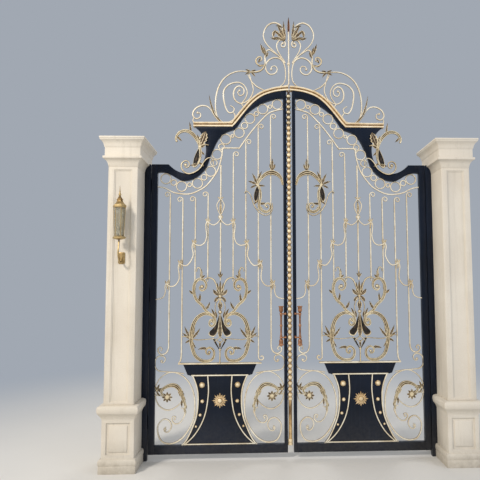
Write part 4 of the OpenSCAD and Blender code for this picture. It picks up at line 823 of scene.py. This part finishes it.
# Lantern: its axis, foot and plate, the wall behind it, its glass (radius at foot and top, height), and its
# turned parts as (radius, height) from the foot or the roof line
LANTERN_Y = -425
LANTERN_Z = 2165
PIER_FACE = -316.3
PLATE_Z = LANTERN_Z - 178
GLASS_LOW = 41
GLASS_HIGH = 55
GLASS_TALL = 265
DROP = ((2, -34), (9, -27), (9, -22), (5, -14), (12, -10), (22, -8))
TRAY = ((20, -9), (58, 0), (63, 5), (63, 12), (56, 17), (44, 24), (40, 24))
ROOF = (
    (50, 24), (57, 27), (61, 33), (64, 40), (64, 46), (57, 54), (40, 70), (28, 92), (27, 98), (31, 101),
    (31, 106), (20, 118), (10, 138), (2, 140))
SPIKE = ((9, 163), (6, 172), (7.4, 180), (4, 190), (0.8, 238))
HOLDER = ((11, 22), (12, 26), (12, 60), (9, 64))
LAMP = ((8, 63), (14, 78), (16, 92), (12, 112), (6, 130), (1, 142))

# Frieze: ten big rings, nine small ones between them and the thin bar that follows them


def ring(c, r):
    """A ring of that outer radius, bent from the ring bar."""
    a = np.linspace(0, 2 * np.pi, 44, endpoint=False)
    middle = r - RING_BAR_WIDTH / 2
    p = np.stack([c[0] + middle * np.cos(a), c[1] + middle * np.sin(a)], 1)
    return rod(p, [RING_BAR_WIDTH / 2], *IRON, closed=True, edge=5)


def ring_frieze():
    eyes = put(RINGS)
    shells = [ring(c, BIG_RING_RADIUS) for c in eyes]
    for a, b in zip(eyes, eyes[1:]):
        shells.append(ring((a + b) / 2, np.linalg.norm(b - a) / 2 - BIG_RING_RADIUS + RING_LAP))
    shells += [rod(smooth(put(q)), [FRIEZE_BAR_WIDTH / 2], *IRON_SECOND) for q in FRIEZE_BARS]
    on_leaves("ring_frieze", "gilt", shells)


# Nine upright bars with crooks at their tops, and the scrolls that some of them end in


def bar(x, foot, top, side):
    """A bar whose top curls to one side and grows thinner as it does."""
    r = CROOK_RADIUS
    curl = [(x, top - 4 * r), (x, top - 2.5 * r)]
    curl += spiral((x + side * r, top - r), r, CROOK_EYE * r, 180 if side > 0 else 0, -side * CROOK_TURN)
    p = np.concatenate([[(x, foot), (x, foot + 60)], smooth(curl, 2)])
    run = np.concatenate([[0], np.cumsum(np.linalg.norm(np.diff(p, axis=0), axis=1))])
    w = np.interp(run, [0, run[-1] - CROOK_TAPER, run[-1]], [BAR_WIDTH / 2, BAR_WIDTH / 2, 0.3 * BAR_WIDTH])
    return rod(p, w, *IRON)


def bars():
    shells = []
    for i, (top, foot) in enumerate(zip(CROOK_TOP, BAR_FOOT)):
        k = i - len(CROOK_TOP) // 2
        x, top, foot = MID + BAR_PITCH * k, level(top), level(foot)
        if k == 0:
            shells.append(rod([(x, foot), (x, top - 40), (x, top)], [BAR_WIDTH / 2], *IRON))
        else:
            shells.append(bar(x, foot, top, 1 if k > 0 else -1))
    # The third bar to the right ends in a hook, the third to the left in a brace, the outermost in scrolls
    *hook, eye = put(HOOK, MID)
    hook += spiral(eye, 32, 12, 180, 310)
    shells.append(rod(smooth(hook, 2), [6, BAR_WIDTH / 2, 6], *IRON_THIRD))
    shells.append(rod(smooth(put(LEDGE_BRACE, MID)), [6.8, BAR_WIDTH / 2, 6.8], *IRON_THIRD))
    shells += both([rod(smooth(put(BAR_SCROLL, MID)), [6.8, BAR_WIDTH / 2, 5], *IRON_THIRD)])
    on_leaves("bars", "gilt", shells)


# Garland: swags from knot to knot, with a bud over the middle bar


def garland_knot(p):
    """A knot with a leaf up, one to its side, one down and a short one forward."""
    out = [leaf((None, *shape), 0, GARLAND_FRONT + 0.1 * (k + 1), -9, place=p + shift)
           for k, (shift, *shape) in enumerate(KNOT_LEAVES)]
    head = [(11, -9), (12, -18), (11, -21), (8, -23.4), (3, -24.3), (0.6, -24.3)]
    return out + [turned(p, head, 14)]


def garland():
    shells = [rod(smooth(put(SWAG, MID), 3), [5.5, 6.5, 5.5], GARLAND_FRONT, GARLAND_BACK)]
    for p in put(SWAG_KNOTS, MID):
        shells += garland_knot(p)
    shells.append(rod(smooth(put(PLUME, MID)), [5, 6, 4], GARLAND_FRONT + 0.3, GARLAND_BACK))
    shells.append(leaf(((0, 2700), 122, 44, 8, 0, 30), MID, *LAYER))
    shells = both(shells)
    shells.append(leaf(((0, 2560), 90, 110, 14, 0, 0), MID, *LAYER))
    shells.append(berry(((0, 2512), 24), MID, *LAYER))
    on_leaves("garland", "gilt", shells)


# Leafy ornaments, drawn from the lists above


def cartouche():
    """The ornament over the lower panel, half of it listed, between two short uprights."""
    shells = both(ornament(MID, *LAYER, CARTOUCHE_SCROLLS, CARTOUCHE_LEAVES, CARTOUCHE_BERRIES,
                           CARTOUCHE_PETALS, CARTOUCHE_BANDS))
    shells += ornament(MID, *LAYER, leaves=MIDDLE_LEAVES, berries=MIDDLE_BERRIES)
    shells += [rod([(MID, LEDGE_TOP), (MID, 1000), (MID, level(1110))], [7], *STEM),
               rod([(MID, level(1580)), (MID, level(1660))], [7], *STEM)]
    on_leaves("cartouche", "bronze", shells)


def upper_scrolls():
    """The acanthus scroll in the upper field and the one on the head's shoulder."""
    on_leaves("acanthus_scroll", "bronze", ornament(
        0, *LAYER, ACANTHUS_SCROLLS, ACANTHUS_LEAVES, ACANTHUS_BERRIES, ACANTHUS_PETALS, ACANTHUS_BANDS))
    on_leaves("shoulder_scroll", "bronze", ornament(
        0, *SHOULDER_LAYER, SHOULDER_SCROLLS, SHOULDER_LEAVES, SHOULDER_BERRIES, SHOULDER_PETALS,
        SHOULDER_BANDS))


def round_about(c, r, k, n):
    """The k-th of n points on a circle."""
    a = 2 * math.pi * k / n
    return c + r * np.array([math.cos(a), math.sin(a)])


def lower_scrolls():
    """Gilt scrolls of the lower fields, and a leafy bronze one with a flower in its eye in front of them."""
    on_leaves("lower_scrolls", "gilt", both(ornament(0, *IRON, LOWER_LINES, berries=LOWER_KNOTS)))
    eye = put([LOWER_BERRIES[-1][0]])[0]
    flower = [leaf((None, 45 * k, 34, 11, 0, 0, 0.8), 0, -15.5, -2, round_about(eye, 18, k, 8))
              for k in range(8)]
    leafy = ornament(0, *LOWER_LAYER, leaves=LOWER_LEAVES, berries=LOWER_BERRIES, bands=LOWER_BANDS)
    on_leaves("lower_scrolls", "bronze", both(leafy + flower), False, "_leaves")


def crest():
    """Rods on the cornice with small balls in the eyes of five of them, and leaves in front."""
    eyes = [berry((CREST_LINES[i][0][-1], 13), HALF, *CREST_EYE) for i in (0, 1, 2, 5, 9)]
    on_leaves("crest", "gilt", ornament(HALF, *IRON, CREST_LINES) + eyes)
    on_leaves("crest", "bronze", ornament(HALF, *CREST_LAYER, CREST_CURLS, CREST_LEAVES), False, "_leaves")


def cornice():
    """Its section run along the shoulder and up the arch; the path turns sharply once, where they meet."""
    corner = 2
    arch = smooth(put(ARCH), 6)
    arch = [arch[0]] + [q for q in arch if np.linalg.norm(q - arch[0]) > 45 and q[0] < HALF - 6]
    path = np.array([put([(425, 3515)])[0], (600, level(3515)), *arch, (HALF - 3, level(3920))])
    nrm = across(path)
    half_turn = 0.5 * math.acos(float(np.clip(nrm[corner - 1] @ nrm[corner + 1], -1, 1)))
    nrm[corner] /= max(0.8, math.cos(half_turn))
    rise, depth, rub_and_shade = (list(q) for q in zip(*CORNICE))
    shell = extruded(path, nrm, rise + rise[::-1], [-d for d in depth] + depth[::-1], rub_and_shade + rub_and_shade[::-1])
    on_leaves("cornice", "cream", [shell])


def frame_and_piers():
    """CAD forms with their edges eased, as flat bar, plate, tube and dressed stone have them."""
    for side in ("left_", "right_"):
        for kind, mat, width in EASED:
            bevelled(side + kind, mat, width)


def panel_trim():
    """The ledge and the gilt lines on the plate."""
    edge = smooth(put(VASE, MID), 6)
    inner = smooth(put(VASE_INNER, MID), 6)
    shells = both([rod(edge + across(edge) * 8, [7], TRIM_FRONT, TRIM_BACK),
                   rod(inner, [6], TRIM_FRONT + 0.2, TRIM_BACK)])
    for half, z in ((280, level(828) + 7), (368, 152)):
        shells.append(rod([(MID - half, z), (MID + half, z)], [7], TRIM_FRONT, TRIM_BACK))
    shells.append(rod([(MID + x, LEDGE_TOP - 9.2) for x in (-412, 0, 412)], [8.7], -16, 16, edge=6))
    on_leaves("panel_trim", "gilt", shells)


def stud(x, z, r):
    """A domed stud on a thin dished washer."""
    dome = [(0.84 * r * math.cos(a), -8.6 - (r - 2.7) * math.sin(a)) for a in np.linspace(0.05, 1.52, 8)]
    washer = [(r, STUD_BACK), (r, -8), (0.93 * r, -9.4), (0.87 * r, -8.6)]
    return turned(put([(x, z)], MID)[0], washer + dome, 24,
                  [0.3, 0.6, 0.9, 0.1] + [0.35, 0.6, 0.8, 0.9, 1, 1, 1, 1])


def bosses():
    """Four studs down each side of the plate, and a sunburst of long and short rays round a dome."""
    shells = both([stud(*q) for q in STUDS])
    eye = put([ROSETTE], MID)[0]
    for k in range(RAYS):
        short = k % 2
        ray = (None, 360 / RAYS * k, SHORT_RAY if short else LONG_RAY, 7.5, 0, 0, 0.7)
        shells.append(leaf(ray, 0, -11 - 0.2 * short, STUD_BACK, round_about(eye, 24, k, RAYS)))
    dome = [(34, STUD_BACK), (34, -10), (31, -11.6), (27, -10.6), (25, -11), (24, -14), (21, -22),
            (15, -27.5),
            (7, -29.8), (0.6, -30)]
    shells.append(turned(eye, dome, 32, [0.3, 0.7, 1, 0.2, 0.1, 0.5, 0.8, 1, 1, 1]))
    on_leaves("bosses", "warm", shells)


# Turned pieces


def ball(x, y, z, r):
    return lathe(x, y, [(r * math.cos(a), z + r * math.sin(a)) for a in np.linspace(-1.5, 1.5, 11)], 20)


def pull_handle():
    """A ringed rod between two fluted tulips, held by two arms with roses on the meeting stile."""
    x, y, arm, cup = 1325, -60, 43, 27
    low, high = level(1212), level(1488)
    middle = (low + high) / 2
    collar = ((9, 26), (13, 29), (13, 34), (9.6, 38))
    waist = ((9.2, -14), (13.5, -7), (14.5, 0), (13.5, 7), (9.2, 14))
    rings = [(9, low), *((r, low + d) for r, d in collar), *((r, middle + d) for r, d in waist),
             *((r, high - d) for r, d in collar[::-1]), (9, high)]
    shells = [lathe(x, y, rings),
              lathe(x, y, [(cup * r, high - 4 + cup * h) for r, h in TULIP], 48, 8),
              lathe(x, y, [(cup * r, low + 4 - cup * h) for r, h in TULIP], 48, 8),
              lathe(x, y, [(5.5, low - 2.3 * cup), (5.5, low - 8)]),
              ball(x, y, low - 2.3 * cup, 14.8)]
    for z in (low + 14, high - 14):
        shells += [ball(x, y, z, 16), ball(x + arm, y, z, 9.8),
                   rod([(x, z), (x + 20, z), (x + arm, z)], [7.6], y - 7.6, y + 7.6, edge=7.4),
                   turned((x + arm, z), [(14, -25.4), (14, -28), (12.5, -29.3), (9, -29.2), (7.6, -31),
                                         (7.6, -58)], 20)]
    on_leaves("pull_handle", "brown", shells)


# Repeated small parts come from one Geometry Nodes tree


def copies_tree():
    """Copies a piece onto each point of a mesh, a little turned and uneven, and gives them their material."""
    tree = bpy.data.node_groups.new("copies_on_points", "GeometryNodeTree")
    for name, kind in (("Points", "Geometry"), ("Piece", "Object"), ("Turn", "Float"), ("Uneven", "Float"),
                       ("Seed", "Int"), ("Finish", "Material")):
        tree.interface.new_socket(name, in_out="INPUT", socket_type="NodeSocket" + kind)
    tree.interface.new_socket("Copies", in_out="OUTPUT", socket_type="NodeSocketGeometry")
    given = add(tree, "NodeGroupInput").outputs
    piece = add(tree, "GeometryNodeObjectInfo", {"Object": given["Piece"]})
    smaller = add(tree, "ShaderNodeMath", {0: 1.0, 1: given["Uneven"]}, operation="SUBTRACT")
    size = add(tree, "FunctionNodeRandomValue", {2: smaller.outputs[0], 3: 1.0, "Seed": given["Seed"]},
               data_type="FLOAT")
    turn = add(tree, "FunctionNodeRandomValue", {2: 0.0, 3: given["Turn"], "Seed": given["Seed"]},
               data_type="FLOAT")
    about = add(tree, "ShaderNodeCombineXYZ", {"Z": turn.outputs[1]})
    placed = add(tree, "GeometryNodeInstanceOnPoints", {
        "Points": given["Points"], "Instance": piece.outputs["Geometry"], "Rotation": about.outputs[0],
        "Scale": size.outputs[1]})
    real = add(tree, "GeometryNodeRealizeInstances", {"Geometry": placed.outputs[0]})
    made = add(tree, "GeometryNodeSetMaterial", {"Geometry": real.outputs[0], "Material": given["Finish"]})
    add(tree, "NodeGroupOutput", {"Copies": made.outputs[0]})
    return tree


COPIES = copies_tree()


def copies(name, points, shell, mat, body, turn=0.0, uneven=0.0, seed=7):
    """Copies of a shell, drawn round the origin, at points in mm, as one plain mesh on that body."""
    seat = bpy.data.meshes.new(name + "_points")
    seat.from_pydata((np.asarray(points, float) * MM).tolist(), [], [])
    holder = bpy.data.objects.new(name + "_points", seat)
    pattern = bpy.data.objects.new(name + "_pattern", mesh_of(name + "_pattern", [shell]))
    for obj in (holder, pattern):
        bpy.context.scene.collection.objects.link(obj)
    mod = holder.modifiers.new("copies", "NODES")
    mod.node_group = COPIES
    given = {"Piece": pattern, "Turn": turn, "Uneven": uneven, "Seed": seed, "Finish": MAT[mat]}
    for item in COPIES.interface.items_tree:
        if item.name in given:
            mod[item.identifier] = given[item.name]
    bpy.context.view_layer.update()
    seen = holder.evaluated_get(bpy.context.evaluated_depsgraph_get())
    mesh = bpy.data.meshes.new_from_object(seen)
    holder.modifiers.remove(mod)
    bpy.data.objects.remove(holder)
    bpy.data.objects.remove(pattern)
    return add_piece(name, mesh, mat, body)


def astragal():
    """Over the joint, on the left leaf: gilt collars, a plain rod and beads, darker above the spring."""
    x, foot, plain, collar, top = HINGE + MEET_FACE + 25.3, 130, level(190), level(582), 3750
    base = ((22, 0), (25, 2), (25, 20), (21.5, 23), (21.5, 33), (25, 36), (25, plain - foot - 3),
            (22, plain - foot))
    neck = ((18, -6), (21, -3), (23, 0), (25, 3), (25, 15), (21, 18), (15, 24))
    collars = [lathe(x, 0, [(r, foot + z) for r, z in base], 32),
               lathe(x, 0, [(r, collar + z) for r, z in neck], 32)]
    piece("astragal_collars", collars, "warm", "left_leaf", ["astragal"])
    stations = (plain - 2, plain + 180, collar - 130, collar - 70, collar)
    # The plain rod darkens to a brown band below its upper collar: painted shade
    plain_rod = lathe(x, 0, [(17.5, z) for z in stations], 32, rub_and_shade=[0.5, 0.42, 0.1, 0.1, 0.4])
    piece("astragal_plain_rod", [plain_rod], "warm", "left_leaf")
    core = lathe(x, 0, [(13.7, collar + 10), (13.7, top)], 24, rub_and_shade=[0.2, 0.2])
    piece("astragal_core", [core], "brown", "left_leaf")
    section = [(r, -z, rub_and_shade) for r, z, rub_and_shade in HALF_BEAD[::-1]] + list(HALF_BEAD)
    bead = lathe(0, 0, [(r, z) for r, z, _ in section], 24, rub_and_shade=[rub_and_shade for _, _, rub_and_shade in section])
    strung = [(x, 0, z) for z in np.arange(collar + 48, top - 25, BEAD_PITCH)]
    change = level(3535)
    for name, mat, points in (("astragal_beads", "warm", [p for p in strung if p[2] < change]),
                              ("astragal_top_beads", "bronze", [p for p in strung if p[2] >= change])):
        copies(name, points, bead, mat, "left_leaf", 6.28, 0.012)


def crest_finial():
    """Middle of the crest, on the left cornice: a bent foot, a stem with a ball and a red-brown spear."""
    foot, knot, tip = 3805.3, level(4232), level(4500)
    bend = smooth([(HALF - 30, foot + 10), (HALF - 8, foot + 20), (HALF, foot + 44)], 5)
    shells = [rod([(HALF - d, foot + 8) for d in (44, 26, 9)], [7.5], *IRON_SECOND),
              rod(bend, [6, 7], *IRON_THIRD),
              rod([(HALF, foot + 30), (HALF, foot + 200), (HALF, level(4600))], [8, 7], *IRON),
              ball(HALF, 0, knot, 17), ball(HALF, 0, knot - 27, 10), ball(HALF, 0, knot + 27, 10),
              lathe(HALF, 0, [(8, tip), (13, tip + 4), (13, tip + 10), (8, tip + 14)])]
    spear = [leaf(((0, 4540), 90, 4568 - level(4540), 12, 0, 0, 0.9), HALF, -8, 8)]
    piece("crest_finial_stem", shells, "gilt", "left_leaf", ["crest_finial"], (HINGE, 0, 0))
    piece("crest_finial_spear", spear, "brown", "left_leaf", (), (HINGE, 0, 0))


def hinge_rivets():
    """Two rivets through each flange of the three hinges, on the back."""
    flange = [level(z) for z in (360, 1660, 2860)]
    for side, x, out in (("left_", HINGE, 1), ("right_", 2 * MIDDLE - HINGE, -1)):
        for part, body, dx, dz in (("leaf", side + "leaf", 25, (15, 45)), ("jamb", "root", -29, (-45, -15))):
            at = [(x + out * dx, 31, z + d) for z in flange for d in dz]
            copies(side + part + "_hinge_rivets", at, RIVET, "navy", body)


# Lantern on the left pier: six glazed sides that widen upwards, under a stepped roof, on a bent arm


def lantern_rods():
    """Six corner rods from the tray to the roof."""
    out = []
    for k in range(6):
        a = math.radians(60 * k)
        for_z = [(GLASS_LOW + 1, LANTERN_Z + 20), (GLASS_HIGH, LANTERN_Z + 28 + GLASS_TALL)]
        ends = np.array([(r * math.cos(a), LANTERN_Y + r * math.sin(a), z) for r, z in for_z])
        turn = np.linspace(0, 2 * np.pi, 8, endpoint=False)
        rows = [[q + 3.6 * np.array([math.cos(b), math.sin(b), 0]) for b in turn] for q in ends]
        out.append(skin(rows, np.full((2, 8), 0.8)))
    return out


def lantern_arm():
    """The arm, bent in the plane across the wall, and its plate with cut corners."""
    path = smooth([(PIER_FACE - 6, PLATE_Z + 3), (PIER_FACE - 40, PLATE_Z - 37),
                   (LANTERN_Y + 20, PLATE_Z - 27), (LANTERN_Y - 22, PLATE_Z + 33),
                   (LANTERN_Y - 12, PLATE_Z + 103), (LANTERN_Y, LANTERN_Z - 24)], 6)
    bar = ((-6.5, -4), (-4, -7.5), (4, -7.5), (6.5, -4), (6.5, 4), (4, 7.5), (-4, 7.5), (-6.5, 4))
    rows = [[(w, q[0] + s[0] * d, q[1] + s[1] * d) for w, d in bar] for q, s in zip(path, across(path))]
    arm = skin(rows, np.tile([0.4, 0.9, 0.9, 0.4, 0.4, 0.9, 0.9, 0.4], (len(path), 1)))
    corners = ((-1, -0.8), (-0.8, -1), (0.8, -1), (1, -0.8), (1, 0.8), (0.8, 1), (-0.8, 1), (-1, 0.8))
    steps = ((32, 56, 0), (32, 56, 4), (29, 53, 7), (26, 50, 7), (24, 48, 9))
    rows = [[(sx * w, PIER_FACE - d, PLATE_Z + sz * h) for sx, sz in corners] for w, h, d in steps]
    return [arm, skin(rows, np.repeat([0.2, 0.6, 1, 0.4, 0.7], 8))]


def lantern_panes():
    """A thin pane between each two corner rods."""
    out = []
    for k in range(6):
        a, b = math.radians(60 * k + 5), math.radians(60 * k + 55)
        rows = [[((r - d) * math.cos(c), LANTERN_Y + (r - d) * math.sin(c), z)
                 for d, c in ((0, a), (0, b), (2, b), (2, a))]
                for r, z in ((GLASS_LOW, LANTERN_Z + 22), (GLASS_HIGH - 1.4, LANTERN_Z + 27 + GLASS_TALL))]
        out.append(skin(rows, np.zeros((2, 4))))
    return out


def wall_lantern():
    z, roof = LANTERN_Z, LANTERN_Z + GLASS_TALL
    shells = [lathe(0, LANTERN_Y, [(r, z + h) for r, h in DROP], 20),
              lathe(0, LANTERN_Y, [(r, z + h) for r, h in TRAY], 6),
              lathe(0, LANTERN_Y, [(r, roof + h) for r, h in ROOF], 6),
              ball(0, LANTERN_Y, roof + 152, 13.5),
              lathe(0, LANTERN_Y, [(r, roof + h) for r, h in SPIKE], 16)]
    shells += lantern_rods() + lantern_arm()
    piece("lantern_frame", shells, "brass", "root", ["wall_lantern"])
    piece("lantern_panes", lantern_panes(), "glass", "root")
    lamp = [lathe(0, LANTERN_Y, [(r, z + h) for r, h in HOLDER], 20),
            lathe(0, LANTERN_Y, [(r, z + h) for r, h in LAMP], 20)]
    piece("lantern_lamp", lamp, "opal", "root")
    v, f, rub_and_shade = RIVET
    screw = (v * (0.6, -0.8, 0.6), [q[::-1] for q in f], rub_and_shade)
    at = [(x, PIER_FACE - 6.5, PLATE_Z + h) for x in (-25, 25) for h in (-46, 46)]
    copies("lantern_plate_screws", at, screw, "brass", "root")


for make in (ring_frieze, bars, garland, cartouche, upper_scrolls, lower_scrolls, crest, cornice,
             frame_and_piers, panel_trim, bosses, pull_handle, astragal, crest_finial, hinge_rivets,
             wall_lantern):
    make()


# Floor, light and camera

# The colour behind the gate
BACKGROUND = "#a1a8b2"


def studio_floor():
    mat, t, place = start("studio_floor_pale")
    # An even pale floor, with only the faintest cloud so that it doesn't look drawn
    cloud = add(t, "ShaderNodeTexNoise", {"Vector": place, "Scale": per(1400), "Detail": 2})
    body = add(t, "ShaderNodeValToRGB", {"Fac": cloud.outputs[0]}, [(0.3, "#dcdad5"), (0.7, "#e0ded9")])
    matt = add(t, "ShaderNodeBsdfPrincipled", {"Base Color": body.outputs[0], "Roughness": 0.9})
    # Far from the gate the floor turns into the background's colour, so that no horizon cuts the view
    far = add(t, "ShaderNodeVectorMath", {0: place, 1: (MIDDLE * MM, 0, 0)}, operation="DISTANCE")
    sweep = add(t, "ShaderNodeMapRange", {"Value": far.outputs["Value"], "From Min": 2.0, "From Max": 7.0},
                interpolation_type="SMOOTHSTEP")
    camera_ray = add(t, "ShaderNodeLightPath").outputs["Is Camera Ray"]
    seen = add(t, "ShaderNodeMath", {0: sweep.outputs[0], 1: camera_ray}, operation="MULTIPLY")
    back = add(t, "ShaderNodeEmission", {"Color": linear(BACKGROUND)})
    finish(mat, add(t, "ShaderNodeMixShader", {0: seen.outputs[0], 1: matt.outputs[0], 2: back.outputs[0]}))
    bm = bmesh.new()
    bmesh.ops.create_grid(bm, x_segments=1, y_segments=1, size=40)
    me = bpy.data.meshes.new("studio_floor")
    bm.to_mesh(me)
    bm.free()
    me.materials.append(mat)
    obj = bpy.data.objects.new("studio_floor", me)
    bpy.context.scene.collection.objects.link(obj)
    return obj


def area_light(name, at, aim, size, power, tint):
    """A round light that faces its aim."""
    data = bpy.data.lights.new(name, "AREA")
    data.shape = "DISK"
    data.size = size
    data.energy = power
    data.color = linear(tint)[:3]
    obj = bpy.data.objects.new(name, data)
    obj.location = at
    obj.rotation_euler = (Vector(aim) - Vector(at)).to_track_quat("-Z", "Y").to_euler()
    bpy.context.scene.collection.objects.link(obj)
    return obj


def studio_world():
    """Soft light from all sides; camera, glossy and transmission rays see the background's own colour."""
    world = bpy.data.worlds.new("studio")
    world.use_nodes = True
    t = world.node_tree
    t.nodes.clear()
    rays = add(t, "ShaderNodeLightPath").outputs
    seen = rays["Is Camera Ray"]
    for kind in ("Is Glossy Ray", "Is Transmission Ray"):
        seen = add(t, "ShaderNodeMath", {0: seen, 1: rays[kind]}, operation="ADD", use_clamp=True).outputs[0]
    sky = add(t, "ShaderNodeBackground", {"Color": linear("#e4e7ec"), "Strength": 0.62})
    back = add(t, "ShaderNodeBackground", {"Color": linear(BACKGROUND), "Strength": 1.0})
    mixed = add(t, "ShaderNodeMixShader", {0: seen, 1: sky.outputs[0], 2: back.outputs[0]})
    add(t, "ShaderNodeOutputWorld", {"Surface": mixed.outputs[0]})
    return world


# The photo's viewpoint, found from the gate's own lines: left of the middle and looking slightly up. Its
# place in metres, yaw, pitch and roll in degrees, and the picture's width, focal length and shift in pixels.
VIEW_AT = (1.327, -5.348, 1.758)
VIEW_TURN = (-2.23, 4.55, -0.26)
PICTURE, FOCAL, SHIFT = 480, 521, -40.9
SENSOR_MM = 36


def photo_view():
    """The camera at that viewpoint."""
    yaw, pitch, roll = (math.radians(a) for a in VIEW_TURN)
    across_view = Vector((math.cos(yaw), math.sin(yaw), 0))
    ahead = Vector((-math.sin(yaw), math.cos(yaw), 0))
    up = Vector((0, 0, 1))
    look = math.cos(pitch) * ahead + math.sin(pitch) * up
    head_up = -math.sin(pitch) * ahead + math.cos(pitch) * up
    side_x = math.cos(roll) * across_view + math.sin(roll) * head_up
    side_y = -math.sin(roll) * across_view + math.cos(roll) * head_up
    cam = bpy.data.cameras.new("photo_view")
    cam.sensor_width = SENSOR_MM
    cam.lens = FOCAL / PICTURE * SENSOR_MM
    cam.shift_x = SHIFT / PICTURE
    obj = bpy.data.objects.new("photo_view", cam)
    bpy.context.scene.collection.objects.link(obj)
    m = Matrix.Identity(4)
    for i, v in enumerate((side_x, side_y, -look)):
        m[0][i], m[1][i], m[2][i] = v
    m.translation = Vector(VIEW_AT)
    obj.matrix_world = m
    return obj


# Lights: name, place, the point they face, their width in metres, watts and tint
LIGHTS = (
    ("key", (-4.5, -7.0, 7.5), (1.6, 0, 1.6), 2.0, 700, "#fff6ea"),
    ("fill", (8.5, -6.0, 4.0), (1.8, 0, 1.8), 5.0, 150, "#e6eeff"),
    ("rim", (3.0, 6.0, 6.5), (1.6, 0, 2.2), 3.0, 110, "#ffffff"))
studio_floor()
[area_light(*light) for light in LIGHTS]
scene = bpy.context.scene
scene.world = studio_world()
scene.view_settings.view_transform = "Standard"
scene.camera = photo_view()
